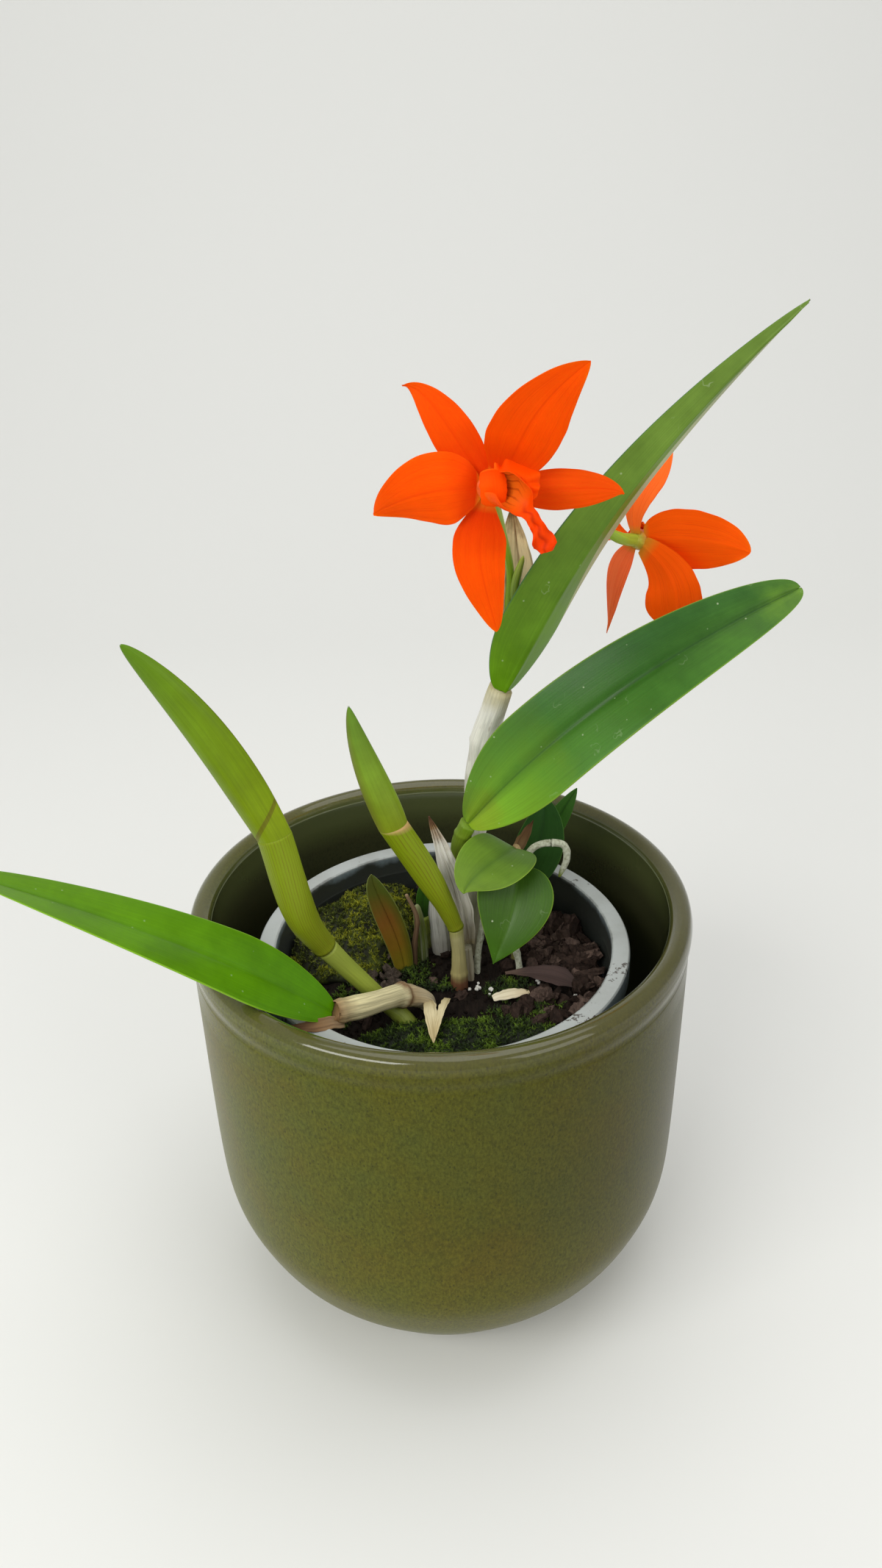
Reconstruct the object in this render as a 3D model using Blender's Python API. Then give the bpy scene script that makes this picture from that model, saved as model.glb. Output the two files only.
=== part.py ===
"""A compact cattleya orchid in its nursery pot, standing in a glazed planter.

The frame has its origin on the planter's flat foot, with +Z up. -Y is the front, where the nearer
bloom faces. Lengths in the tables of pieces are millimetres and are turned into metres by MM.
"""
import math
import random

import bmesh
import bpy
import numpy as np
from mathutils import Matrix, Vector

MM = 0.001
GAP = 0.3  # clearance between pieces that touch, mm

# Planter: a glazed ceramic cachepot, 160 mm across and 150 mm tall.
PLANTER_HEIGHT = 150.0
PLANTER_RIM_RADIUS = 80.0
PLANTER_OPENING_RADIUS = 73.0
PLANTER_FOOT_RADIUS = 47.0
PLANTER_FLOOR = 9.0
PLANTER_SEGMENTS = 36

# Nursery pot: a tall 12 cm plastic pot, a little off the planter's centre.
POT_CENTRE = (0.8, -3.8)
POT_RIM_RADIUS = 60.0
POT_TOP = 135.0
POT_WALL = 1.6
POT_FOOT_RADIUS = 41.0
POT_SHOULDER_RADIUS = 55.6
POT_HOLE_RADIUS = 5.0
POT_HOLE_RING = 26.0
POT_SEGMENTS = 32

# Potting mix, and what lies on it.
MIX_LEVEL = 118.5
CHIP_SIZE = (9.0, 5.0, 3.4)
STEM_DEPTH = 6.0
STEM_END = MIX_LEVEL - STEM_DEPTH

# Leaves: the midrib's four curve points, then the shape of the blade round it.
LEAF_A = dict(path=((21.6, 15.6, 213), (36.8, 13, 245.2), (46.8, 6, 276.2), (98, 4, 324)),
              face=(-0.3, 0.9, 0.3), turn=(7, 7), half=12.2, base=3.2, peak=0.22, rise=0.65, fall=0.74,
              fold=22, thick=2.2)
LEAF_B = dict(path=((9.8, 8, 171), (33.5, -1, 205), (62.5, 3, 227), (109.1, 16, 243.8)),
              face=(-0.25, -0.85, 0.45), turn=(-8, -10), half=15.0, base=2.2, peak=0.28, rise=0.7,
              fall=0.4, fold=14, thick=2.2)
LEAF_C = dict(path=((-12.9, -10, 180), (-15.6, -11, 190), (-22.6, -12, 208), (-24, -13, 222.6)),
              face=(0.1, -0.9, 0.3), turn=(0, 0), half=5.2, base=4.6, peak=0.2, rise=1.0, fall=0.7,
              fold=36, thick=1.8)
LEAF_D = dict(path=((-43.8, -30, 189.5), (-55.5, -31, 217), (-64.5, -31, 233), (-80.2, -30, 249.6)),
              face=(-0.3, -0.8, 0.5), turn=(0, 0), half=6.9, base=6.0, peak=0.24, rise=1.0, fall=0.56,
              fold=26, thick=1.9)
LEAF_E = dict(path=((-32.9, -40, 135.8), (-59.5, -49, 163), (-88.5, -55, 182), (-126.1, -53, 196.6)),
              face=(0, -0.55, 0.83), turn=(8, 48), half=11.4, base=2.6, peak=0.31, rise=0.72, fall=0.4,
              fold=12, thick=2.2)
LEAF_F1 = dict(path=((25, 8, 161), (21.5, 0, 164.5), (8.5, -8, 161), (7.5, -14, 159)),
               face=(0, -0.6, 0.8), turn=(13, 2), half=11.0, base=1.6, peak=0.36, rise=0.32, fall=0.85,
               fold=8, thick=1.4)
LEAF_F2 = dict(path=((25.5, 5, 156), (25, -1, 149), (22, -8, 142), (16.5, -12, 130.5)),
               face=(0, -0.8, 0.6), turn=(0, 0), half=12.4, base=1.6, peak=0.34, rise=0.4, fall=1.0,
               fold=10, thick=1.4)
LEAF_G1 = dict(path=((27, 23, 136), (33, 26, 144), (37, 29, 156), (36, 31, 167)),
               face=(0.1, -0.9, 0.4), turn=(0, 0), half=7.6, base=1.8, peak=0.45, rise=0.6, fall=0.7,
               fold=12, thick=1.3)
LEAF_G2 = dict(path=((30.5, 33, 137), (37, 35, 148), (42, 37, 156), (48, 38, 166)),
               face=(0.1, -0.9, 0.4), turn=(0, 0), half=4.0, base=1.6, peak=0.5, rise=0.7, fall=0.7,
               fold=14, thick=1.3)
LEAF_H = dict(path=((-5.2, 16, 130), (-6.5, 16, 135), (-5, 16, 143), (-2.5, 15, 147)),
              face=(0.1, -0.9, 0.4), turn=(0, 0), half=2.6, base=1.4, peak=0.5, rise=0.8, fall=0.7,
              fold=15, thick=1.2)

# Canes: the centre line, with the radius at each point of it.
CANE_A = dict(path=((10.5, 10, STEM_END), (11, 14, 134), (11.8, 19, 152), (13.2, 22.5, 172),
                    (15.6, 22, 193)), radii=(2.4, 2.7, 3.1, 4.2, 4.6, 3.7))
CANE_B = dict(path=((5.6, 2.6, STEM_END), (5.8, 4.5, 130), (5.9, 7.5, 148), (7.0, 8.8, 163)),
              radii=(2.3, 2.4, 2.5, 2.8, 2.7))
CANE_C = dict(path=((5.5, -7, STEM_END), (5.7, -7, 121), (5.6, -7.2, 132), (4.9, -7.8, 142)),
              radii=(2.6, 2.5, 1.9, 2.2))
SHEATH_C = dict(path=((4.9, -7.8, 142), (2.2, -8.2, 152), (-3, -9, 163.5)), radii=(2.5, 2.8, 3.6, 4.6))
CANE_D = dict(path=((-8.6, -26, STEM_END), (-11, -24.8, 118.5), (-18.5, -21.6, 124.6),
                    (-27.4, -23.4, 137.4), (-34.6, -26, 149)), radii=(2.6, 2.7, 2.5, 2.4, 2.8))
SHEATH_D = dict(path=((-34.6, -26, 149), (-39.6, -28, 163.6), (-42.8, -29.4, 177)),
                radii=(3.2, 4.4, 5.1, 5.6))
CANE_E = dict(path=((-4.0, -15.6, STEM_END), (-5.4, -17, 120.5), (-12, -23, 127.8), (-19, -30.4, 131.8),
                    (-26, -35.8, 133.9)), radii=(2.2, 2.9, 3.3, 3.2, 3.6, 3.3))
STEM_F1 = dict(path=((18.5, 15, STEM_END), (21.5, 17, 136), (26, 15, 152)), radii=(1.5, 1.5, 1.8, 1.5))
STEM_F2 = dict(path=((24.5, 5.5, STEM_END), (25.5, 9.6, 132), (26, 9, 148)), radii=(1.4, 1.4, 1.5, 1.5))
STEM_G1 = dict(path=((24.5, 20, STEM_END), (25, 20.8, 124)), radii=(1.6, 1.7, 1.7))
STEM_G2 = dict(path=((29, 31, STEM_END), (29, 31.5, 125)), radii=(1.5, 1.6, 1.6))

# Dry and papery pieces, bulbs and the young shoot.
SHOOT = dict(path=((-12.4, 3.4, STEM_END), (-12.4, 2.4, 134), (-22, 1.4, 150), (-21.5, 2, 156.6)),
             face=(0.2, -0.9, 0.2), turn=(0, 0), half=4.6, base=2.2, peak=0.46, rise=0.7, fall=0.62,
             fold=22, thick=3.0)
DRY_SHEATH = dict(path=((8.2, -1.4, 131), (6.6, -1.0, 148), (2.6, -0.8, 162), (-2.6, -0.6, 179)),
                  face=(0.3, -0.95, 0.1), turn=(0, 0), half=4.2, base=2.8, peak=0.4, rise=0.8, fall=0.8,
                  fold=0, curl=(60, 40), thick=0.7)
DRY_SHEATH_FOOT = dict(path=((9.2, -2.6, STEM_END), (9.0, -2.8, 121), (8.6, -2.4, 130.4)),
                       radii=(1.5, 1.8, 1.8, 1.5))
PAPERY_BULB = dict(path=((0.4, 12, STEM_END), (-0.2, 12, 124), (-1.0, 11.6, 134), (-1.6, 11, 143)),
                   radii=(2.6, 3.1, 2.9, 1.5))
MOSSY_BULB = dict(path=((-6.2, 9.2, STEM_END), (-6.6, 9.4, 124), (-7.2, 9.6, 134), (-7.6, 9.8, 139)),
                  radii=(2.0, 2.2, 1.8, 0.9))
STEM_H = dict(path=((-4.4, 16.2, STEM_END), (-4.8, 16, 122)), radii=(1.3, 1.3, 1.3))
TWIG = dict(path=((-8.5, 4.2, STEM_END), (-8.8, 4.4, 126), (-7.6, 4.8, 137), (-10.8, 5, 146.5)),
            radii=(0.9, 0.85, 0.8, 0.5))
SPATHE = dict(path=((23.6, 25, 219.5), (22.6, 26.4, 234), (23.4, 26.8, 250), (25.4, 26.5, 265.5)),
              face=(0.35, -0.9, 0.1), turn=(0, 0), half=8.4, base=3.4, peak=0.5, rise=0.9, fall=0.7, fold=0,
              curl=(62, 82), thick=0.7)
BRACT_E = dict(path=((-25, -40, 128.6), (-28, -41.6, 129.4), (-31.6, -42, 130.4), (-34.6, -41.6, 131.4)),
               face=(0, -0.7, 0.7), turn=(0, 0), half=1.7, base=1.6, peak=0.4, rise=0.8, fall=0.8, fold=16,
               thick=0.7)
BRACT_F = dict(path=((24.2, 18.6, 148.5), (26, 20, 154), (29.4, 20.4, 160), (31.4, 19, 165)),
               face=(0.2, -0.9, 0.3), turn=(0, 0), half=2.2, base=1.2, peak=0.4, rise=0.8, fall=0.8,
               fold=18, thick=0.7)

# Roots that stand clear of the mix.
ROOT_ARCH = dict(path=((28.9, 12.6, 155.6), (31.4, 12.4, 158.8), (35.6, 12, 160.4), (40.8, 12, 159.4),
                       (41.9, 12, 154), (39.7, 12, 147.2)), radii=(1.1, 1.15, 1.15, 1.15, 1.15, 0.8))
ROOT_SIDE = dict(path=((23.4, 2.4, 132.5), (24.6, 1.4, 127), (25.8, -0.6, 120), (26.2, -1.4, STEM_END)),
                 radii=(0.8, 1.1, 1.1, 1.0))
ROOT_BACK = dict(path=((14.6, 3.0, 142), (13.6, 1.6, 134), (12.2, 0.4, 125), (11.6, -0.4, STEM_END)),
                 radii=(0.8, 1.1, 1.1, 1.0))

# What stands in the mix, each in a hole of its own, given from its foot upwards.
STANDING = [CANE_A, CANE_B, CANE_C, CANE_D, CANE_E, STEM_F1, STEM_F2, STEM_G1, STEM_G2, STEM_H,
            PAPERY_BULB, MOSSY_BULB, TWIG, DRY_SHEATH_FOOT]
ROOTED = [dict(path=spec["path"][::-1], radii=spec["radii"][::-1]) for spec in (ROOT_SIDE, ROOT_BACK)]
SHOOT_HOLE = dict(path=((-12.4, 3.4, STEM_END), (-12.8, 2.6, 130)), radii=(4.2, 4.2))

# Blooms: five tepals round a receptacle, a lip and a column. Centres are the receptacles' fronts.
TEPAL_THICK = 0.9
TEPAL_SEAT = 2.25
SEPAL_BASE = 1.8
PETAL_BASE = 2.5
BLOOM_1 = dict(centre=(15.4, -17.0, 284.0), axis=(0.08, -0.96, 0.22), down=(0.6, -0.13, -0.79))
BLOOM_2 = dict(centre=(63.4, 36.6, 252.6), axis=(0.62, 0.76, 0.15), down=(0.1, 0.1, -1))
TEPALS_1 = dict(
    petal_right=dict(layer=1, path=((24.2, -16, 292.4), (21.5, -27, 304), (38, -33, 316.5)), turn=(-6, 18),
                     half=9.3, peak=0.5, rise=1.0, fall=0.68, fold=6),
    petal_left=dict(layer=1, path=((8.4, -21.5, 284.8), (-1, -20.5, 286.7), (-14.5, -8, 275.5)),
                    turn=(-4, -18), half=9.4, peak=0.5, rise=0.85, fall=0.71, fold=-6),
    sepal_top=dict(layer=0, path=((9, -15, 292), (1, -13.5, 309.8), (-5.6, -9, 308)), turn=(0, -10),
                   half=5.6, peak=0.36, rise=1.0, fall=1.2, fold=10),
    sepal_low=dict(layer=0, path=((11.3, -19, 263.6), (13, -22, 264.7), (17.4, -20, 246.5)), turn=(-7, 5),
                   half=7.1, peak=0.28, rise=1.2, fall=0.56, fold=-8),
    sepal_right=dict(layer=0, path=((31, -17, 282.4), (46, -18, 284.7), (49.2, -21, 282.6)), turn=(-6, -14),
                     half=5.2, peak=0.38, rise=1.3, fall=1.0, fold=-8))
TEPALS_2 = dict(
    sepal_top=dict(layer=0, path=((59.4, 36, 266), (66.6, 36, 274), (74, 44, 279)), turn=(-4, -4),
                   half=5.3, peak=0.6, rise=1.0, fall=0.9, fold=10),
    petal_near=dict(layer=1, path=((71, 33, 253.7), (86, 26, 256), (94.6, 22, 252.6)), turn=(9, -5),
                    half=10.2, peak=0.42, rise=0.9, fall=0.66, fold=5),
    sepal_near=dict(layer=0, path=((77.6, 24, 242.4), (71.6, 25, 237.6), (77.1, 28, 225.6)), turn=(-4, -46),
                    half=8.6, peak=0.7, rise=0.8, fall=0.95, fold=5),
    sepal_far=dict(layer=0, path=((56, 38, 244), (58, 43, 229), (57.5, 49, 218)), turn=(-30, 40), base=1.2,
                   half=5.0, peak=0.45, rise=1.0, fall=0.8, fold=8),
    petal_far=dict(layer=1, path=((58, 46, 254), (53, 53, 256), (50, 58, 254)), turn=(0, 0), base=1.6,
                   half=8.0, peak=0.5, rise=1.0, fall=0.7, fold=5))
LIP_REACH = 13.5  # how far the lip stands out along the bloom's axis
LIP_DROP = 21.0  # and how far its end hangs below the axis
LIP_SEAT = (3.0, 2.3)  # its base, forward along the axis and down from the column
LIP_SWING = (1.4, 3.6, 0.8)  # how far its line then swings to one side
LIP_PROFILE = ((0, 4.4), (0.12, 7.6), (0.3, 9.6), (0.4, 5.4), (0.52, 2.3), (0.7, 2.4), (0.84, 3.8),
               (0.94, 4.2), (1, 2.2))
LIP_CURL = ((0, 112), (0.3, 132), (0.45, 75), (1, 25))
COLUMN_LENGTH = 7.5
COLUMN_RADIUS = 1.5
PEDUNCLE_SEAT = 4.8  # behind leaf A's midrib, on the cane's end
PEDUNCLE_1 = dict(path=((23.9, 22.2, 222), (23.2, 21.6, 236), (23.4, 18.4, 250), (20.6, 10, 264),
                        (17.4, -4, 277)), radii=(1.1, 1.15, 1.15, 1.15, 1.2, 1.5, 1.8, 1.7))
PEDUNCLE_2 = dict(path=((26.2, 21.4, 238.5), (27.4, 18.8, 250), (34, 21, 259), (47, 29, 261),
                        (57, 32, 254.6)), radii=(1.0, 1.1, 1.15, 1.3, 1.6, 1.8, 1.7))
BUD = dict(path=((25.6, 18.2, 238.5), (26.8, 16.6, 244), (28, 15.4, 250)), radii=(1.0, 1.3, 0.6))

# Litter on the mix.
STRAW_1 = dict(path=((-2.4, -20.2, 121.8), (-2.6, -25, 124), (-3.4, -32, 125), (-5.4, -38.2, 123.8)),
               face=(0, 0, 1), turn=(0, 0), half=1.1, base=0.9, peak=0.4, rise=1.0, fall=0.9, fold=15,
               thick=0.7)
STRAW_2 = dict(path=((0.6, -18.8, 121.8), (0.5, -25, 124.8), (0.4, -31, 125.4), (-0.6, -37.2, 124)),
               face=(0, 0, 1), turn=(0, 0), half=1.2, base=1.0, peak=0.4, rise=1.0, fall=0.9, fold=15,
               thick=0.7)
WOOD_CHIP = dict(path=((16.2, -15.6, 119.4), (20, -14.6, 120.2), (25, -13.6, 120.2), (29, -13, 119.5)),
                 face=(0, -0.3, 1), turn=(0, 0), half=1.9, base=1.0, peak=0.4, rise=0.6, fall=0.6, fold=4,
                 thick=1.4)
DEAD_LEAF = dict(path=((21, -4, 119.2), (29, -5.6, 121.2), (37, -9.5, 122.2), (45.2, -13.4, 120.2)),
                 face=(0, -0.2, 1), turn=(0, 0), half=4.0, base=0.6, peak=0.64, rise=1.8, fall=0.9, fold=16,
                 thick=0.7)
MOSS_BACK = dict(centre=(-30, 22), half=(19, 29), spin=-28, height=7.5, seed=3)
MOSS_FRONT = dict(centre=(6, -37), half=(36, 11), spin=2, height=3.2, seed=8)


def clear_scene():
    for item in list(bpy.data.objects):
        bpy.data.objects.remove(item, do_unlink=True)


def unit(vector):
    vector = np.asarray(vector, float)
    return vector / np.linalg.norm(vector, axis=-1, keepdims=True)


def linear(channel):
    return channel / 12.92 if channel <= 0.04045 else ((channel + 0.055) / 1.055) ** 2.4


def make_material(name, colour, roughness):
    rgb = [linear(int(colour[i:i + 2], 16) / 255) for i in (1, 3, 5)]
    material = bpy.data.materials.new(name)
    material.use_nodes = True
    shader = material.node_tree.nodes["Principled BSDF"]
    shader.inputs["Base Color"].default_value = (*rgb, 1)
    shader.inputs["Roughness"].default_value = roughness
    shader.inputs["Metallic"].default_value = 0
    material.diffuse_color = (*rgb, 1)
    return material


def add_object(name, points, faces, colour, roughness):
    """A mesh object from points in millimetres, with its faces turned outwards."""
    mesh = bpy.data.meshes.new(name)
    mesh.from_pydata([tuple(p) for p in np.asarray(points) * MM], [], faces)
    shape = bmesh.new()
    shape.from_mesh(mesh)
    bmesh.ops.recalc_face_normals(shape, faces=shape.faces)
    if shape.calc_volume(signed=True) < 0:
        bmesh.ops.reverse_faces(shape, faces=shape.faces)
    shape.to_mesh(mesh)
    shape.free()
    mesh.shade_smooth()
    mesh.set_sharp_from_angle(angle=math.radians(40))
    mesh.materials.append(make_material(name, colour, roughness))
    item = bpy.data.objects.new(name, mesh)
    bpy.context.scene.collection.objects.link(item)
    return item


def bezier(path, t):
    a, b, c, d = np.asarray(path, float)
    t = np.asarray(t, float)[:, None]
    s = 1 - t
    return s ** 3 * a + 3 * s * s * t * b + 3 * s * t * t * c + t ** 3 * d


def bezier_slope(path, t):
    a, b, c, d = np.asarray(path, float)
    t = np.asarray(t, float)[:, None]
    s = 1 - t
    return unit(s * s * (b - a) + 2 * s * t * (c - b) + t * t * (d - c))


def blade_half_width(t, half, base, peak, rise, fall, tip=0.6):
    """Half the blade's width: it rises from the base to its peak and then falls to the tip."""
    up = np.sin(np.pi / 2 * np.clip(t / peak, 0, 1)) ** rise
    down = np.clip(np.cos(np.pi / 2 * np.clip((t - peak) / (1 - peak), 0, 1)), 0, 1) ** fall
    return np.maximum(np.where(t < peak, base + (half - base) * up, half * down), tip)


def blade_rows(spec, rows, columns):
    """The blade's middle surface, a grid of points from base to tip and from side to side."""
    t = (1 - np.cos(np.linspace(0, np.pi, rows))) / 2
    u = np.linspace(-1, 1, columns)[None, :, None]
    along = bezier_slope(spec["path"], t)
    face = np.asarray(spec["face"], float)
    up = unit(face - (along @ face)[:, None] * along)
    side = np.cross(up, along)
    turn = np.radians(np.interp(t, (0, 1), spec["turn"]))[:, None]
    side, up = side * np.cos(turn) + up * np.sin(turn), up * np.cos(turn) - side * np.sin(turn)
    if "profile" in spec:
        width = np.interp(t, *zip(*spec["profile"]))
    else:
        width = blade_half_width(t, *(spec[key] for key in ("half", "base", "peak", "rise", "fall")))
    width = width[:, None, None]
    fold = math.radians(spec.get("fold", 0))
    bend = np.radians(curl_at(spec.get("curl", (0, 0)), t))[:, None, None] + 1e-6
    across = width / bend * np.sin(u * bend)
    lift = width / bend * (1 - np.cos(u * bend)) + across * np.sign(u) * math.sin(fold)
    centre = bezier(spec["path"], t)[:, None]
    grid = centre + side[:, None] * across * math.cos(fold) + up[:, None] * lift
    return frill(grid, up, spec.get("frill", 0), t, u)


def curl_at(curl, t):
    """The blade's half angle of curl, from a base and tip value or from pairs along the blade."""
    pairs = curl if np.ndim(curl) == 2 else ((0, curl[0]), (1, curl[1]))
    return np.interp(t, *zip(*pairs))


def frill(grid, up, height, t, u):
    """Waves along the outer part of a lip's margin."""
    if not height:
        return grid
    wave = np.sin(t * 34)[:, None, None] * np.abs(u) ** 2 * np.clip((t - 0.6) * 4, 0, 1)[:, None, None]
    return grid + up[:, None] * wave * height


def blade(name, spec, colour, roughness=0.4, rows=13, columns=5):
    """A leaf, petal or dry scale: one closed sheet, thinner at its margin than at its midrib."""
    grid = blade_rows(spec, rows, columns)
    along = np.gradient(grid, axis=0)
    across = np.gradient(grid, axis=1)
    normal = unit(np.cross(along, across))
    edge = np.abs(np.linspace(-1, 1, columns)) ** 2
    thick = np.maximum(spec["thick"] * (1 - 0.6 * edge), min(spec["thick"], 0.7))
    half = thick[None, :, None] / 2
    points = np.concatenate([(grid + normal * half).reshape(-1, 3), (grid - normal * half).reshape(-1, 3)])
    return add_object(name, points, sheet_faces(rows, columns), colour, roughness)


def sheet_faces(rows, columns):
    """Triangles of both faces of a sheet, split alike, and of the rim that joins them."""
    def index(row, column, layer):
        return layer * rows * columns + row * columns + column
    faces = []
    for row in range(rows - 1):
        for column in range(columns - 1):
            for layer in (0, 1):
                a, b = index(row, column, layer), index(row, column + 1, layer)
                c, d = index(row + 1, column + 1, layer), index(row + 1, column, layer)
                faces += [(a, b, c), (a, c, d)] if layer == 0 else [(c, b, a), (d, c, a)]
    rim = [(0, c) for c in range(columns)] + [(r, columns - 1) for r in range(1, rows)]
    rim += [(rows - 1, c) for c in range(columns - 2, -1, -1)] + [(r, 0) for r in range(rows - 2, 0, -1)]
    for here, there in zip(rim, rim[1:] + rim[:1]):
        a, b = index(*here, 0), index(*there, 0)
        c, d = index(*there, 1), index(*here, 1)
        faces += [(b, a, d), (b, d, c)]
    return faces


def smooth_path(points, per):
    """Points of a smooth curve through the given ones, with per steps between each two."""
    points = np.asarray(points, float)
    padded = np.vstack([2 * points[0] - points[1], points, 2 * points[-1] - points[-2]])
    out = []
    for i in range(len(points) - 1):
        a, b, c, d = padded[i:i + 4]
        for step in range(per):
            t = step / per
            out.append(0.5 * (2 * b + (c - a) * t + (2 * a - 5 * b + 4 * c - d) * t * t
                              + (3 * b - a - 3 * c + d) * t ** 3))
    return np.array(out + [points[-1]])


def tube_rings(path, radii, ends=(None, None), flat=1.0, side=(1, 0, 0), per=3, sides=10, grow=0.0):
    """Rings of points round a smooth centre line. flat squashes the last rings across side."""
    line = smooth_path(path, per)
    stations = np.linspace(0, 1, len(line))
    radius = np.interp(stations, np.linspace(0, 1, len(radii)), radii) + grow
    squash = 1 + (flat - 1) * stations ** 2
    along = unit(np.gradient(line, axis=0))
    for place, direction in zip((0, -1), ends):
        if direction is not None:
            along[place] = unit(direction)
    side = np.asarray(side, float)
    wide = unit(side - (along @ side)[:, None] * along)
    deep = np.cross(along, wide)
    turn = np.linspace(0, 2 * np.pi, sides, endpoint=False)
    round_off = np.cos(turn)[None, :, None] * wide[:, None] * radius[:, None, None]
    return line[:, None] + round_off + (np.sin(turn)[None, :, None] * deep[:, None]
                                        * (radius * squash)[:, None, None])


def tube_faces(rings, sides):
    faces = []
    for ring in range(rings - 1):
        for k in range(sides):
            a, b = ring * sides + k, ring * sides + (k + 1) % sides
            faces += [(a, b, b + sides), (a, b + sides, a + sides)]
    last = (rings - 1) * sides
    for k in range(1, sides - 1):
        faces += [(0, k + 1, k), (last, last + k, last + k + 1)]
    return faces


def tube(name, spec, colour, roughness=0.6, **shape):
    rings = tube_rings(spec["path"], spec["radii"], **shape)
    return add_object(name, rings.reshape(-1, 3), tube_faces(*rings.shape[:2]), colour, roughness)


def under_leaf(spec, leaf, back=0.0):
    """The cane's line carried on to just below the leaf's base, square to the leaf there."""
    base, second = np.asarray(leaf["path"][0], float), np.asarray(leaf["path"][1], float)
    along = unit(second - base)
    face = np.asarray(leaf["face"], float)
    up = unit(face - (along @ face) * along)
    end = base - along * GAP + up * back
    return dict(path=(*spec["path"], tuple(end)), radii=spec["radii"]), along, np.cross(up, along)


def behind_leaf(leaf, spec):
    """A stalk's line started on the cane's end, close behind the leaf's base."""
    joined, along, _ = under_leaf(dict(path=(), radii=()), leaf, back=PEDUNCLE_SEAT)
    start = np.asarray(joined["path"][-1]) + along * GAP
    return dict(spec, path=(tuple(start), *spec["path"]), start=along)


def after_cane(spec, cane):
    """A sheath's line started just above the cane's end, square to the cane there."""
    before, joint, after = cane["path"][-2], cane["path"][-1], spec["path"][1]
    along = unit(np.subtract(after, before))
    start = np.asarray(joint, float) + along * GAP
    return dict(path=(tuple(start), *spec["path"][1:]), radii=spec["radii"]), along


def lathe(name, profile, segments, colour, roughness, centre=(0, 0)):
    """A turned shape from a closed profile of (radius, height) that starts and ends on the axis."""
    x, y = centre
    turn = np.linspace(0, 2 * np.pi, segments, endpoint=False)
    points = [(x, y, profile[0][1])]
    for radius, height in profile[1:-1]:
        points += [(x + radius * math.cos(a), y + radius * math.sin(a), height) for a in turn]
    points.append((x, y, profile[-1][1]))
    faces = []
    for k in range(segments):
        near, far = 1 + k, 1 + (k + 1) % segments
        faces.append((0, far, near))
        for ring in range(len(profile) - 3):
            shift = ring * segments
            faces.append((near + shift, far + shift, far + shift + segments, near + shift + segments))
        shift = (len(profile) - 3) * segments
        faces.append((near + shift, far + shift, len(points) - 1))
    return add_object(name, points, faces, colour, roughness)


def boolean(item, cutter, operation):
    """Joins or cuts item with another object, and removes that object."""
    modifier = item.modifiers.new("bool", "BOOLEAN")
    modifier.operation = operation
    modifier.object = cutter
    modifier.solver = "EXACT"
    modifier.use_self = operation == "UNION"
    depsgraph = bpy.context.evaluated_depsgraph_get()
    mesh = bpy.data.meshes.new_from_object(item.evaluated_get(depsgraph))
    item.modifiers.clear()
    item.data = mesh
    bpy.data.objects.remove(cutter, do_unlink=True)


def build_planter():
    """The planter: a near straight wall that rounds in to a small flat foot, and a rounded lip."""
    top = PLANTER_HEIGHT
    outer = [(0, 0), (PLANTER_FOOT_RADIUS, 0), (50.6, 3.2), (56.1, 10), (63.3, 20), (70.3, 30), (74.9, 40),
             (77.8, 50), (78.8, 64), (79.2, 90), (79.4, 138), (79.5, top - 11)]
    lip = [(PLANTER_RIM_RADIUS, top - 9), (PLANTER_RIM_RADIUS, top - 3.6), (78.9, top - 1.1), (76.6, top),
           (74.6, top - 0.8)]
    inner = [(PLANTER_OPENING_RADIUS, top - 3), (PLANTER_OPENING_RADIUS, top - 10), (73.4, 90), (72.6, 60),
             (70.4, 46), (65.5, 34), (58, 21), (51.4, 12.8), (47.6, PLANTER_FLOOR), (0, PLANTER_FLOOR)]
    return lathe("planter", outer + lip + inner, PLANTER_SEGMENTS, "#6F7442", 0.25)


def build_nursery_pot():
    """The grey inner pot: a tapered wall, a rolled rim and five drain holes in its floor."""
    foot = PLANTER_FLOOR + GAP
    shoulder, rim, wall = POT_SHOULDER_RADIUS, POT_RIM_RADIUS, POT_WALL
    profile = [(0, foot), (POT_FOOT_RADIUS, foot), (shoulder, POT_TOP - 12), (shoulder, POT_TOP - 9),
               (rim - 0.6, POT_TOP - 9), (rim, POT_TOP - 7.6), (rim, POT_TOP - 1.2), (rim - 1.2, POT_TOP),
               (shoulder - 0.6, POT_TOP), (shoulder - wall, POT_TOP - 1.2), (shoulder - wall, POT_TOP - 12),
               (POT_FOOT_RADIUS - wall, foot + wall), (0, foot + wall)]
    pot = lathe("nursery_pot", profile, POT_SEGMENTS, "#A3ACAB", 0.45, POT_CENTRE)
    for k in range(5):
        angle = 2 * math.pi * k / 5
        x = POT_CENTRE[0] + POT_HOLE_RING * math.cos(angle)
        y = POT_CENTRE[1] + POT_HOLE_RING * math.sin(angle)
        hole = dict(path=((x, y, foot - 3), (x, y, foot + 5)), radii=(POT_HOLE_RADIUS, POT_HOLE_RADIUS))
        boolean(pot, tube("drain_cutter", hole, "#000000", per=1, sides=12), "DIFFERENCE")
    return pot


def pot_inner_radius(height):
    low, high = PLANTER_FLOOR + GAP + POT_WALL, POT_TOP - 12
    share = (height - low) / (high - low)
    return POT_FOOT_RADIUS + (POT_SHOULDER_RADIUS - POT_FOOT_RADIUS) * min(share, 1) - POT_WALL


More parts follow.
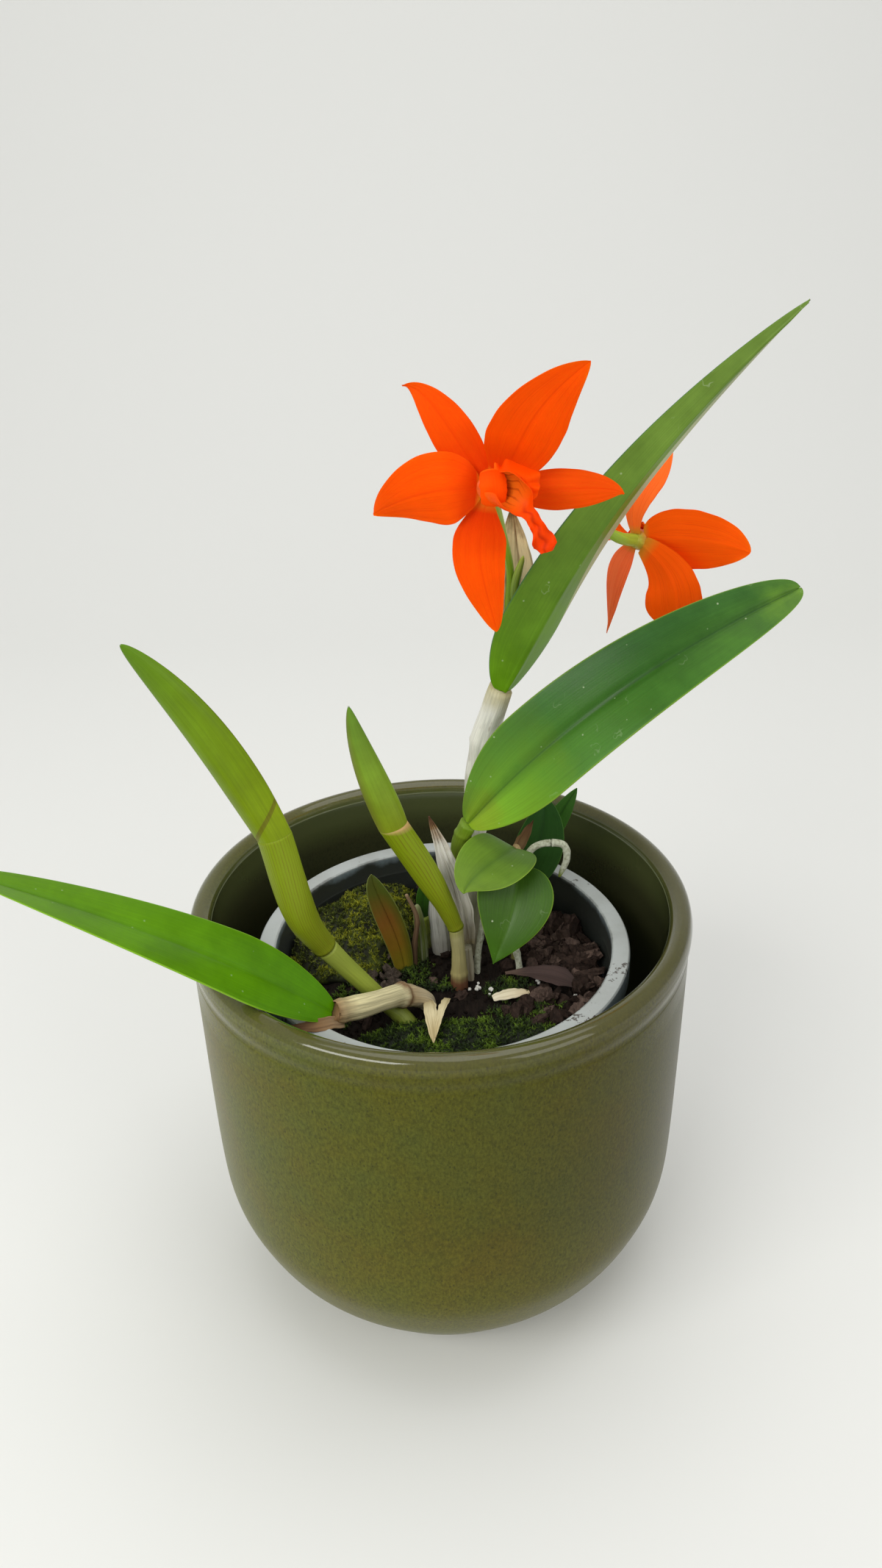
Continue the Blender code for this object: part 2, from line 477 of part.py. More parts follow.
def chip(place, size, spin, tilt):
    """One chip of bark: a box with its upper face drawn in."""
    x, y, z = (s / 2 for s in size)
    corners = [(-x, -y, -z), (x, -y, -z), (x, y, -z), (-x, y, -z), (-0.7 * x, -0.8 * y, z),
               (0.8 * x, -0.6 * y, z), (0.6 * x, 0.8 * y, z), (-0.8 * x, 0.7 * y, z)]
    turn = Matrix.Rotation(spin, 3, "Z") @ Matrix.Rotation(tilt, 3, "Y")
    points = [turn @ Vector(corner) + Vector(place) for corner in corners]
    faces = [(0, 3, 2), (0, 2, 1), (4, 5, 6), (4, 6, 7)]
    for a, b in ((0, 1), (1, 2), (2, 3), (3, 0)):
        faces += [(a, b, b + 4), (a, b + 4, a + 4)]
    return add_object("chip", points, faces, "#3E2C24", 0.9)


def build_mix():
    """The bark mix that fills the pot, with loose chips grown into its top where no moss lies."""
    floor = PLANTER_FLOOR + GAP * 2 + POT_WALL
    edge = pot_inner_radius(MIX_LEVEL - 1.5) - GAP * 1.5
    profile = [(0, floor), (pot_inner_radius(floor) - GAP * 1.5, floor), (edge, MIX_LEVEL - 1.5),
               (edge - 2, MIX_LEVEL), (0, MIX_LEVEL)]
    mix = lathe("potting_mix", profile, POT_SEGMENTS, "#3E2C24", 0.95, POT_CENTRE)
    draw = random.Random(21)
    for place in chip_places(draw):
        size = [s * draw.uniform(0.7, 1.15) for s in CHIP_SIZE]
        height = MIX_LEVEL + draw.uniform(-0.6, 0.5)
        spin, tilt = draw.uniform(0, math.pi), draw.uniform(-0.3, 0.3)
        boolean(mix, chip((*place, height), size, spin, tilt), "UNION")
    return mix


def chip_places(draw):
    """Scattered places on the mix, clear of the moss cushions, of the stems and of each other."""
    places = []
    stems = [spec["path"][0][:2] for spec in STANDING]
    while len(places) < 18:
        angle, reach = draw.uniform(0, 2 * math.pi), 45 * math.sqrt(draw.random())
        x, y = POT_CENTRE[0] + reach * math.cos(angle), POT_CENTRE[1] + reach * math.sin(angle)
        on_moss = any(inside_moss(moss, x, y) < 1.5 for moss in (MOSS_BACK, MOSS_FRONT))
        near_stem = any(math.dist((x, y), stem) < 7.5 for stem in stems)
        in_litter = -8 < x < 46 and -30 < y < 2
        near_chip = any(math.dist((x, y), other) < 7 for other in places)
        if not (on_moss or near_stem or in_litter or near_chip):
            places.append((x, y))
    return places


def inside_moss(moss, x, y):
    """How far out in a cushion a place lies: under 1 is inside its outline."""
    turn = math.radians(moss["spin"])
    dx, dy = x - moss["centre"][0], y - moss["centre"][1]
    along = dx * math.cos(turn) + dy * math.sin(turn)
    across = dy * math.cos(turn) - dx * math.sin(turn)
    return math.hypot(along / moss["half"][0], across / moss["half"][1])


def build_moss(name, moss, colour):
    """A cushion of moss: a low dome with tufts, on the level top of the mix."""
    draw = random.Random(moss["seed"])
    rings, spokes = 6, 24
    base = MIX_LEVEL + GAP
    turn = math.radians(moss["spin"])
    points = [(*moss["centre"], base + moss["height"])]
    for ring in range(1, rings + 1):
        share = ring / rings
        for k in range(spokes):
            angle = 2 * math.pi * (k + 0.5 * (ring % 2)) / spokes
            edge = 1 + 0.07 * math.sin(3 * angle + moss["seed"]) + 0.05 * math.sin(7 * angle)
            along = moss["half"][0] * share * edge * math.cos(angle)
            across = moss["half"][1] * share * edge * math.sin(angle)
            tuft = draw.uniform(0.72, 1.12)
            height = 0.8 + (moss["height"] - 0.8) * (1 - share ** 2.4) * tuft
            x = moss["centre"][0] + along * math.cos(turn) - across * math.sin(turn)
            y = moss["centre"][1] + along * math.sin(turn) + across * math.cos(turn)
            points.append((*within_pot(x, y), base + height))
    rim = [(x, y, base) for x, y, _ in points[-spokes:]]
    points += rim + [(*moss["centre"], base)]
    faces = [(0, 1 + k, 1 + (k + 1) % spokes) for k in range(spokes)]
    for ring in range(rings):
        for k in range(spokes):
            a, b = 1 + ring * spokes + k, 1 + ring * spokes + (k + 1) % spokes
            c, d = b + spokes, a + spokes
            faces += [(a, d, c), (a, c, b)] if ring % 2 else [(a, d, b), (b, d, c)]
    last = 1 + rings * spokes
    faces += [(last + k, len(points) - 1, last + (k + 1) % spokes) for k in range(spokes)]
    return add_object(name, points, faces, colour, 0.95)


def within_pot(x, y):
    """The place itself, or the nearest one clear of the nursery pot's wall."""
    reach = math.dist((x, y), POT_CENTRE)
    share = min(1, (pot_inner_radius(MIX_LEVEL) - 1) / reach)
    return POT_CENTRE[0] + (x - POT_CENTRE[0]) * share, POT_CENTRE[1] + (y - POT_CENTRE[1]) * share


def stem_cutter(spec):
    """A plug a little wider than a stem's foot, for the hole that it stands in."""
    path = np.asarray(spec["path"], float)
    down = unit(path[0] - path[1])
    lengthened = (tuple(path[0] + down * GAP * 1.4), *map(tuple, path[1:]))
    rings = tube_rings(lengthened, spec["radii"], grow=GAP * 1.5, per=3)
    low = rings[rings[:, :, 2].min(axis=1) < MIX_LEVEL + 12]
    return add_object("stem_cutter", low.reshape(-1, 3), tube_faces(*low.shape[:2]), "#000000", 1)


def bore_stem_holes(ground):
    """Cuts a hole for each standing piece through the mix and the moss."""
    for spec in STANDING + ROOTED + [SHOOT_HOLE]:
        for item in ground:
            boolean(item, stem_cutter(spec), "DIFFERENCE")


def build_canes():
    """The canes and small stems, each up to its leaf, with a green sheath on two of the canes."""
    plain = (("cane_a", CANE_A, LEAF_A, "#C9C6B4"), ("cane_b", CANE_B, LEAF_B, "#8FA31C"),
             ("cane_e", CANE_E, LEAF_E, "#C2AE86"), ("stem_f1", STEM_F1, LEAF_F1, "#A9A272"),
             ("stem_f2", STEM_F2, LEAF_F2, "#8FA03A"), ("stem_g1", STEM_G1, LEAF_G1, "#8FA03A"),
             ("stem_g2", STEM_G2, LEAF_G2, "#8FA03A"), ("stem_h", STEM_H, LEAF_H, "#8FA03A"))
    for name, cane, leaf, colour in plain:
        spec, along, _ = under_leaf(cane, leaf, back=2.2 if name == "cane_a" else 0)
        tube(name, spec, colour, ends=(None, along))
    for tag, cane, sheath, leaf, colour in (("c", CANE_C, SHEATH_C, LEAF_C, "#A9A272"),
                                            ("d", CANE_D, SHEATH_D, LEAF_D, "#9AAA3A")):
        wrap, joint = after_cane(sheath, cane)
        wrap, along, side = under_leaf(wrap, leaf)
        tube("cane_" + tag, cane, colour, ends=(None, joint))
        tube("sheath_" + tag, wrap, "#8FA31C", 0.45, ends=(joint, along), flat=0.42, side=side)


def build_leaves():
    for name, spec, colour, columns in (("leaf_a", LEAF_A, "#5B8A1A", 7), ("leaf_b", LEAF_B, "#4C8050", 7),
                                        ("leaf_c", LEAF_C, "#6B9030", 5), ("leaf_d", LEAF_D, "#6E8C14", 5),
                                        ("leaf_e", LEAF_E, "#4A9A10", 7)):
        blade(name, spec, colour, 0.35, rows=14, columns=columns)
    for name, spec, colour in (("leaf_f1", LEAF_F1, "#6A9A20"), ("leaf_f2", LEAF_F2, "#4E7E28"),
                               ("leaf_g1", LEAF_G1, "#2F6220"), ("leaf_g2", LEAF_G2, "#3A7028"),
                               ("leaf_h", LEAF_H, "#3A6A20")):
        blade(name, spec, colour, 0.35, rows=10)
    blade("young_shoot", SHOOT, "#6A5A1A", 0.45, rows=11)


def build_dry_pieces():
    """Papery sheaths, old bulbs, a twig, the flowering growth's dry sheath and two bracts."""
    tube("dry_sheath_foot", DRY_SHEATH_FOOT, "#B9B49C", 0.8)
    blade("dry_sheath", DRY_SHEATH, "#C4BFA8", 0.8, rows=10, columns=7)
    tube("papery_bulb", PAPERY_BULB, "#C2C4C0", 0.8)
    tube("mossy_bulb", MOSSY_BULB, "#7E8A3A", 0.85)
    tube("twig", TWIG, "#6A5240", 0.85, sides=8)
    blade("spathe", SPATHE, "#CDB98A", 0.75, rows=11, columns=9)
    blade("bract_e", BRACT_E, "#8A6A48", 0.85, rows=8)
    blade("bract_f", BRACT_F, "#8A6038", 0.85, rows=8)


def build_roots():
    """An arching root on the side leaf's stem, and two that go down into the mix."""
    for name, spec in (("root_arch", ROOT_ARCH), ("root_side", ROOT_SIDE), ("root_back", ROOT_BACK)):
        tube(name, spec, "#C8CBB5", 0.7, sides=8)


def build_litter():
    """Two straws, a pale chip of wood and a dead leaf that lie on the mix."""
    blade("straw_1", STRAW_1, "#CBB68A", 0.8, rows=8)
    blade("straw_2", STRAW_2, "#CBB68A", 0.8, rows=8)
    blade("wood_chip", WOOD_CHIP, "#D8BC8C", 0.8, rows=8)
    blade("dead_leaf", DEAD_LEAF, "#5D4B42", 0.85, rows=10)


def build_bloom(tag, bloom, tepals, stalk, colour):
    """Five tepals in two layers on the receptacle, with the lip and the column in front of them."""
    centre, axis = np.asarray(bloom["centre"], float), unit(bloom["axis"])
    for name, spec in tepals.items():
        outward = np.asarray(spec["path"][0], float) - centre
        outward = unit(outward - (outward @ axis) * axis)
        seat = centre + outward * TEPAL_SEAT + axis * spec["layer"] * (TEPAL_THICK + GAP)
        full = dict(face=tuple(axis), base=PETAL_BASE if spec["layer"] else SEPAL_BASE, thick=TEPAL_THICK)
        full.update(spec, path=(tuple(seat), *spec["path"]))
        blade(f"bloom_{tag}_{name}", full, colour, 0.5, rows=11)
    down = unit(np.asarray(bloom["down"]) - (unit(bloom["down"]) @ axis) * axis)
    seat = centre + axis * LIP_SEAT[0] + down * LIP_SEAT[1]
    swing = [np.cross(axis, down) * reach for reach in LIP_SWING]
    lip_path = (seat, seat + axis * 11 + down * 2 + swing[0], centre + axis * 14 + down * 11 + swing[1],
                centre + axis * LIP_REACH + down * LIP_DROP + swing[2])
    lip = dict(path=lip_path, face=tuple(axis - down), turn=(0, 0), profile=LIP_PROFILE, curl=LIP_CURL,
               frill=0.9, thick=0.8)
    blade(f"bloom_{tag}_lip", lip, "#F0430A", 0.5, rows=15, columns=7)
    end = centre + axis * (TEPAL_THICK + GAP)
    column = dict(path=(tuple(end + axis * GAP), tuple(end + axis * COLUMN_LENGTH)),
                  radii=(COLUMN_RADIUS, COLUMN_RADIUS * 1.1))
    tube(f"bloom_{tag}_column", column, "#F79A3C", 0.5, sides=8)
    stem = dict(path=(*stalk["path"], tuple(centre - axis * 3.4), tuple(end)), radii=stalk["radii"])
    tube(f"peduncle_{tag}", stem, "#9DBB35", 0.5, ends=(stalk.get("start"), axis), sides=8)


def build_all():
    clear_scene()
    build_planter()
    build_nursery_pot()
    ground = [build_mix(), build_moss("moss_back", MOSS_BACK, "#5C6410"),
              build_moss("moss_front", MOSS_FRONT, "#45551A")]
    bore_stem_holes(ground)
    build_canes()
    build_leaves()
    build_dry_pieces()
    build_roots()
    build_litter()
    build_bloom("1", BLOOM_1, TEPALS_1, behind_leaf(LEAF_A, PEDUNCLE_1), "#F55A00")
    build_bloom("2", BLOOM_2, TEPALS_2, PEDUNCLE_2, "#F0561A")
    tube("flower_bud", BUD, "#7E9A30", 0.5, sides=8)


build_all()
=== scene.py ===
import math
import random

import bpy
import numpy as np
from mathutils import Matrix, Vector


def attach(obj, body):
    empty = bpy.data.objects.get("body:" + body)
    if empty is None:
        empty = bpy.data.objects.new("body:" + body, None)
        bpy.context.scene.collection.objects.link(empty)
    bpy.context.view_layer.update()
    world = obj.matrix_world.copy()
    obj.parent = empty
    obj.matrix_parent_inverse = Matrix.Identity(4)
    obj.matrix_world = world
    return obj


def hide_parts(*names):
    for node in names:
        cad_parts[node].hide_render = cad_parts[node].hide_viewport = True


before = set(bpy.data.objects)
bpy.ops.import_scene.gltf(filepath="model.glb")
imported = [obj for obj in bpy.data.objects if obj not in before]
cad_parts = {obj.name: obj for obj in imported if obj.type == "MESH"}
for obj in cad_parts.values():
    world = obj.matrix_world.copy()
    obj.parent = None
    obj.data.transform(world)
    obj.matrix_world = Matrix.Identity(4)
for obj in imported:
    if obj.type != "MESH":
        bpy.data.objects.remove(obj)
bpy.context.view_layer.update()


# The room. A pale floor that turns up into a pale wall, large soft lights, and a camera that stands
# in front of the plant and a little above it.
def to_linear(colour):
    channels = [int(colour[i:i + 2], 16) / 255 for i in (1, 3, 5)]
    return [c / 12.92 if c <= 0.04045 else ((c + 0.055) / 1.055) ** 2.4 for c in channels] + [1.0]


def add_node(tree, kind, sockets=(), stops=(), **settings):
    """Adds a node with its settings, its ramp's stops, and a value or a link for each named socket."""
    node = tree.nodes.new("ShaderNode" + kind)
    for key, value in settings.items():
        setattr(node, key, value)
    for index, (place, colour) in enumerate(stops):
        marks = node.color_ramp.elements
        stop = marks[index] if index < 2 else marks.new(place)
        stop.position, stop.color = place, to_linear(colour)
    for key, value in dict(sockets).items():
        if isinstance(value, bpy.types.NodeSocket):
            tree.links.new(value, node.inputs[key])
        else:
            node.inputs[key].default_value = to_linear(value) if isinstance(value, str) else value
    return node


def new_material(name, sockets):
    """A material with its shader's own values set, and its node tree and shader to build on."""
    material = bpy.data.materials.new(name)
    material.use_nodes = True
    shader = material.node_tree.nodes["Principled BSDF"]
    for key, value in sockets.items():
        shader.inputs[key].default_value = value
    return material, material.node_tree, shader


BACKDROP_REACH = 1.3
bpy.ops.object.select_all(action="DESELECT")
bpy.ops.mesh.primitive_plane_add(size=2 * BACKDROP_REACH)
floor = bpy.context.object
floor.name = "floor"
floor.scale = (2.4, 1, 1)
bpy.ops.object.transform_apply(location=False, rotation=False, scale=True)
bpy.ops.object.mode_set(mode="EDIT")
bpy.ops.mesh.select_all(action="DESELECT")
bpy.ops.object.mode_set(mode="OBJECT")
for edge in floor.data.edges:
    edge.select = all(floor.data.vertices[i].co.y > 0 for i in edge.vertices)
for point in floor.data.vertices:
    point.select = point.co.y > 0
bpy.ops.object.mode_set(mode="EDIT")
bpy.ops.mesh.extrude_region_move(TRANSFORM_OT_translate={"value": (0, 0, 2.2)})
bpy.ops.mesh.select_all(action="SELECT")
bpy.ops.object.mode_set(mode="OBJECT")
sweep = floor.modifiers.new("sweep", "BEVEL")
sweep.width, sweep.segments, sweep.limit_method = 0.7, 24, "ANGLE"
bpy.ops.object.modifier_apply(modifier="sweep")
bpy.ops.object.shade_smooth()
# Matt seamless paper, pale and slightly warm.
paper, tree, shader = new_material("seamless_paper", {"Roughness": 0.9})
shader.inputs["Base Color"].default_value = to_linear("#E6E6E3")
floor.data.materials.append(paper)

world = bpy.data.worlds.new("studio")
bpy.context.scene.world = world
world.use_nodes = True
world.node_tree.nodes["Background"].inputs["Color"].default_value = to_linear("#F8F9F8")
world.node_tree.nodes["Background"].inputs["Strength"].default_value = 0.57
for name, place, size, power, tint in (("window", (-0.7, -0.85, 1.05), (0.9, 0.42), 9.5, "#FFFFFC"),
        ("fill", (0.9, -0.9, 0.9), (0.8, 0.8), 3.6, "#FFFEFC"),
        ("ceiling", (0.1, 0.1, 1.6), (1.2, 1.2), 7.5, "#FFFFFF")):
    bpy.ops.object.light_add(type="AREA", location=place)
    lamp = bpy.context.object
    lamp.name = name
    lamp.data.shape, lamp.data.size, lamp.data.size_y = "RECTANGLE", *size
    lamp.data.energy, lamp.data.color = power, to_linear(tint)[:3]
    lamp.rotation_euler = (Vector((0, 0, 0.17)) - Vector(place)).to_track_quat("-Z", "Y").to_euler()

CAMERA_PLACE = (0.0005, -0.3138, 0.361)
CAMERA_PITCH, CAMERA_YAW, CAMERA_ROLL = math.radians(28.61), math.radians(0.17), math.radians(-1.53)
ahead = Vector((math.sin(CAMERA_YAW) * math.cos(CAMERA_PITCH), math.cos(CAMERA_YAW) * math.cos(CAMERA_PITCH),
        -math.sin(CAMERA_PITCH)))
level = Vector((math.cos(CAMERA_YAW), -math.sin(CAMERA_YAW), 0))
upright = level.cross(ahead)
right = level * math.cos(CAMERA_ROLL) + upright * math.sin(CAMERA_ROLL)
upward = upright * math.cos(CAMERA_ROLL) - level * math.sin(CAMERA_ROLL)
bpy.ops.object.camera_add()
camera = bpy.context.object
camera.matrix_world = Matrix.Translation(CAMERA_PLACE) @ Matrix((right, upward, -ahead)).transposed().to_4x4()
camera.data.lens, camera.data.sensor_width, camera.data.sensor_fit = 27.0, 36.0, "AUTO"
camera.data.clip_start = 0.01
bpy.context.scene.camera = camera
bpy.context.scene.view_settings.view_transform = "Standard"


# The planter. A wheel-thrown stoneware cachepot, dipped in an olive reactive glaze that breaks from
# grey-green to yellow-olive with fine dark specks; it stands on its flat unglazed foot.
MM = 0.001
GAP = 0.3  # clearance between pieces that touch, mm
GRAIN = 1 / MM  # a pattern of this scale repeats every millimetre in Object coordinates
TURN = 6.2832  # once round, in radians


def fade(tree, value, start, end, first=0.0, last=1.0):
    """Runs from first to last while the value runs from start to end, and stops there."""
    return add_node(tree, "MapRange", {0: value, 1: start, 2: end, 3: first, 4: last}).outputs[0]


def paint(tree, share, under, over):
    """One colour laid over another by a share from 0 to 1."""
    return add_node(tree, "Mix", {0: share, 6: under, 7: over}, data_type="RGBA").outputs[2]


def tone_by(tree, colour, strength):
    """A colour made darker or lighter by a factor."""
    return add_node(tree, "Mix", {0: 1.0, 6: colour, 7: strength}, data_type="RGBA",
        blend_type="MULTIPLY").outputs[2]


def calc(tree, operation, *values):
    return add_node(tree, "Math", dict(enumerate(values)), operation=operation).outputs[0]


def ramp(tree, value, stops):
    return add_node(tree, "ValToRGB", {0: value}, stops=stops).outputs["Color"]


def noise(tree, place, scale, detail=2.0, roughness=0.5):
    sockets = {"Vector": place, "Scale": scale, "Detail": detail, "Roughness": roughness}
    return add_node(tree, "TexNoise", sockets).outputs["Fac"]


def split(tree, vector):
    return add_node(tree, "SeparateXYZ", {0: vector}).outputs


def stretch(tree, place, scale):
    return add_node(tree, "Mapping", {0: place, 3: scale}).outputs[0]


def grain_of(tree):
    """A place on the object, for patterns that are as fine on every piece."""
    return add_node(tree, "TexCoord").outputs["Object"]


def spot_of(tree):
    """A place on the piece itself: across, along and through it, as the piece's maker has marked it."""
    return add_node(tree, "Attribute", attribute_name="spot").outputs["Vector"]


def wear(tree, shader, colour, relief=None, strength=0.0, depth=0.0003):
    """Gives a shader its colour, and the fine relief that the skin has."""
    tree.links.new(colour, shader.inputs["Base Color"])
    if relief is not None:
        bump = add_node(tree, "Bump", {"Strength": strength, "Distance": depth, "Height": relief})
        tree.links.new(bump.outputs[0], shader.inputs["Normal"])


def smooth_path(points, per):
    """Points of a smooth curve through the given ones, with per steps between each two."""
    points = np.asarray(points, float)
    padded = np.vstack([2 * points[0] - points[1], points, 2 * points[-1] - points[-2]])
    out = []
    for i in range(len(points) - 1):
        a, b, c, d = padded[i:i + 4]
        for t in np.arange(per) / per:
            out.append(0.5 * (2 * b + (c - a) * t + (2 * a - 5 * b + 4 * c - d) * t * t
                    + (3 * b - a - 3 * c + d) * t ** 3))
    return np.array(out + [points[-1]])


def waves(seed, *axes, count=9):
    """Smooth random unevenness, between about -1 and 1, over coordinates given in wave lengths."""
    draw = random.Random(seed)
    total = 0
    for _ in range(count):
        total = total + np.sin(draw.uniform(0, 6.28) + sum(axis * draw.uniform(-6.3, 6.3) for axis in axes))
    return total / math.sqrt(count) / 1.6


def roll_up(name, place, spot, around, rings, merge=2e-6):
    """A flat grid rolled into a closed skin. place gives its points in mm from their shares round it and
    along it, and spot where they lie on the piece, which its material reads as an attribute."""
    bpy.ops.object.select_all(action="DESELECT")
    bpy.ops.mesh.primitive_grid_add(x_subdivisions=around, y_subdivisions=rings, size=2)
    piece = bpy.context.object
    piece.name = piece.data.name = name
    u, v = np.linspace(0, 1, around + 1)[None], np.linspace(0, 1, rings + 1)[:, None]
    points = np.asarray(place(u, v), float).reshape(-1, 3) * MM
    piece.data.vertices.foreach_set("co", points.ravel())
    marks = piece.data.attributes.new("spot", "FLOAT_VECTOR", "POINT")
    marks.data.foreach_set("vector", np.stack(np.broadcast_arrays(*spot(u, v)), -1).astype(float).ravel())
    bpy.ops.object.mode_set(mode="EDIT")
    bpy.ops.mesh.select_all(action="SELECT")
    bpy.ops.mesh.remove_doubles(threshold=merge)
    bpy.ops.mesh.fill_holes(sides=0)
    bpy.ops.mesh.normals_make_consistent(inside=False)
    bpy.ops.object.mode_set(mode="OBJECT")
    bpy.ops.object.shade_smooth()
    return piece


def turn_on_wheel(name, profile, around, centre=(0, 0), uneven=0.0, seed=1):
    """A turned shape from a closed profile of radius and height that starts and ends on the axis. Its spot
    is the way round it, and then how far along the profile."""
    profile = np.asarray(profile, float)

    def place(u, v):
        radius, height = profile[:, :1], profile[:, 1:]
        swell = 1 - uneven * (1 + waves(seed, np.cos(TURN * u), np.sin(TURN * u),
                height / 90)) / radius.clip(1)
        return np.stack(np.broadcast_arrays(centre[0] + radius * swell * np.cos(TURN * u),
                centre[1] + radius * swell * np.sin(TURN * u), height), -1)

    def spot(u, v):
        return np.cos(TURN * u), np.sin(TURN * u), v + 0 * u
    return roll_up(name, place, spot, around, len(profile) - 1)


def dress(piece, skin, slot, *nodes):
    """Gives a piece its material, hangs it on the root body and hides the CAD parts it replaces; slot is not
    used.
    """
    piece.data.materials.clear()
    piece.data.materials.append(skin)
    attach(piece, "root")
    if nodes:
        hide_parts(*nodes)
    return piece


PLANTER_OUTSIDE = [(47.6, 0.7), (50.6, 3.2), (56.1, 10), (63.3, 20), (70.3, 30), (74.9, 40), (77.8, 50),
    (78.8, 64), (79.2, 90), (79.35, 120), (79.4, 136), (79.3, 138.6), (79.35, 140.2), (79.85, 143),
    (79.95, 146), (79.0, 148.7), (76.8, 149.95), (74.6, 149.3), (73.1, 147), (73, 140), (73.4, 90),
    (72.6, 60), (70.4, 46), (65.5, 34), (58, 21), (51.4, 12.8), (47.6, 9.4)]
planter_profile = np.vstack([[(0, 0), (24, 0), (46.2, 0), (46.9, 0.2)], smooth_path(PLANTER_OUTSIDE, 7),
        [(44, 9), (22, 9), (0, 9)]])
planter_profile[:, 0] = planter_profile[:, 0].clip(0, 79.97)
planter = turn_on_wheel("planter_turned", planter_profile, 192, uneven=0.16, seed=4)

# Stoneware glaze: glassy on the lip and inside, satin with tiny pits on the wall, speckled all over.
glaze, tree, shader = new_material("reactive_olive_glaze",
    {"Specular IOR Level": 0.12, "Coat Roughness": 0.06, "Coat IOR": 1.6})
grain = grain_of(tree)
axes = split(tree, grain)
drift = noise(tree, grain, GRAIN / 46, 4.0, 0.62)
patch = ramp(tree, drift, ((0.30, "#545D20"), (0.50, "#5C5D16"), (0.70, "#635810")))
# Painted shade: the glaze is darkened towards the right side, which faces away from the window light.
side = fade(tree, axes["X"], -0.08, 0.08, 0.0, 0.85)
painted_right_shade = paint(tree, side, patch, "#383208")
low = fade(tree, axes["Z"], 0.085, 0.01, 0.0, 0.55)
lighter = paint(tree, low, painted_right_shade, "#68661E")
streak_place = stretch(tree, grain, (1.0, 1.0, 0.6))
mottle = noise(tree, streak_place, GRAIN / 0.8, 3.0, 0.7)
mottled = fade(tree, mottle, 0.34, 0.66, 0.68, 1.26)
wall = tone_by(tree, lighter, mottled)
cells = add_node(tree, "TexVoronoi", {"Vector": streak_place, "Scale": GRAIN / 1.15}).outputs
dot = fade(tree, cells["Distance"], 0.14, 0.3, 0.6, 0.0)
chosen = add_node(tree, "SeparateColor", {0: cells["Color"]}).outputs["Red"]
picked = fade(tree, chosen, 0.55, 0.75)
speck = calc(tree, "MULTIPLY", dot, picked)
specked = paint(tree, speck, wall, "#2A2A10")
# Partly the lip's own grey-olive, partly painted shade: the whole lip is painted darker to match its shaded
# front.
lip = fade(tree, axes["Z"], 0.1465, 0.1497, 0.0, 0.75)
rimmed = paint(tree, lip, specked, "#4C4A26")
turned = split(tree, spot_of(tree))
within = fade(tree, turned["Z"], 0.665, 0.69)
# Painted shade: inside, below the brink, the glaze is painted dark for the gap round the pot; near the brink
# it keeps its olive.
deep = paint(tree, mottled, "#23261A", "#3C3E26")
brink = fade(tree, axes["Z"], 0.131, 0.1405, 0.0, 0.7)
inside = paint(tree, brink, deep, "#596038")
inner_wall_blend = paint(tree, within, rimmed, inside)
foot = fade(tree, axes["Z"], 0.0011, 0.0008)
bare = paint(tree, foot, inner_wall_blend, "#B9A88C")
gloss = fade(tree, axes["Z"], 0.128, 0.142, 0.3, 0.1)
glassy = fade(tree, within, 0, 1, 1.0, 0.55)
smooth = calc(tree, "MULTIPLY", gloss, glassy)
dull = fade(tree, foot, 0, 1, 0.0, 0.6)
tree.links.new(calc(tree, "ADD", smooth, dull), shader.inputs["Roughness"])
thick_glaze = fade(tree, axes["Z"], 0.1445, 0.1475, 0.0, 0.65)
tree.links.new(calc(tree, "MAXIMUM", thick_glaze, within), shader.inputs["Coat Weight"])
wear(tree, shader, bare, mottle, 0.16)
dress(planter, glaze, "glazed_ceramic", "planter")


# The nursery pot. A grey polypropylene pot, injection moulded with a rolled rim and five drain holes,
# stood loose inside the planter and a little off its centre.
POT_CENTRE = (0.8, -3.8)
POT_FOOT = 9.3
DRAIN_RING, DRAIN_RADIUS = 26, 5


def fuse(piece, *others):
    """Joins the others into the piece."""
    bpy.ops.object.select_all(action="DESELECT")
    for part in (piece, *others):
        part.select_set(True)
    bpy.context.view_layer.objects.active = piece
    bpy.ops.object.join()


pot_profile = [(0, POT_FOOT), (39.8, POT_FOOT), (40.8, POT_FOOT + 0.5), (41.1, POT_FOOT + 1.6), (48.2, 66),
    (55.2, 119.6), (55.55, 123), (55.6, 125.6), (56, 126), (59.2, 126), (59.8, 126.4), (60, 127.2),
    (60, 133.4), (59.8, 134.4), (59.4, 134.9), (58.6, 135), (55.2, 135), (54.6, 134.9), (54.15, 134.5),
    (54, 133.8), (53.98, 128), (53.7, 127.4), (53.7, 123), (47, 71), (39.4, 11.4), (38.6, 10.9), (0, 10.9)]
pot = turn_on_wheel("nursery_pot_moulded", pot_profile, 144, POT_CENTRE, uneven=0.05, seed=9)
drills = []
for k in range(5):
    angle = 2 * math.pi * k / 5
    place = (POT_CENTRE[0] + DRAIN_RING * math.cos(angle), POT_CENTRE[1] + DRAIN_RING * math.sin(angle),
        POT_FOOT)
    bpy.ops.mesh.primitive_cylinder_add(vertices=32, radius=DRAIN_RADIUS * MM, depth=8 * MM,
        location=[c * MM for c in place])
    drills.append(bpy.context.object)
fuse(*drills)
bpy.context.view_layer.objects.active = pot
holes = pot.modifiers.new("drain_holes", "BOOLEAN")
holes.object, holes.solver = drills[0], "EXACT"
bpy.ops.object.modifier_apply(modifier="drain_holes")
bpy.data.objects.remove(drills[0])
bpy.ops.object.select_all(action="DESELECT")
pot.select_set(True)
bpy.context.view_layer.objects.active = pot
bpy.ops.object.shade_smooth_by_angle(angle=math.radians(25))

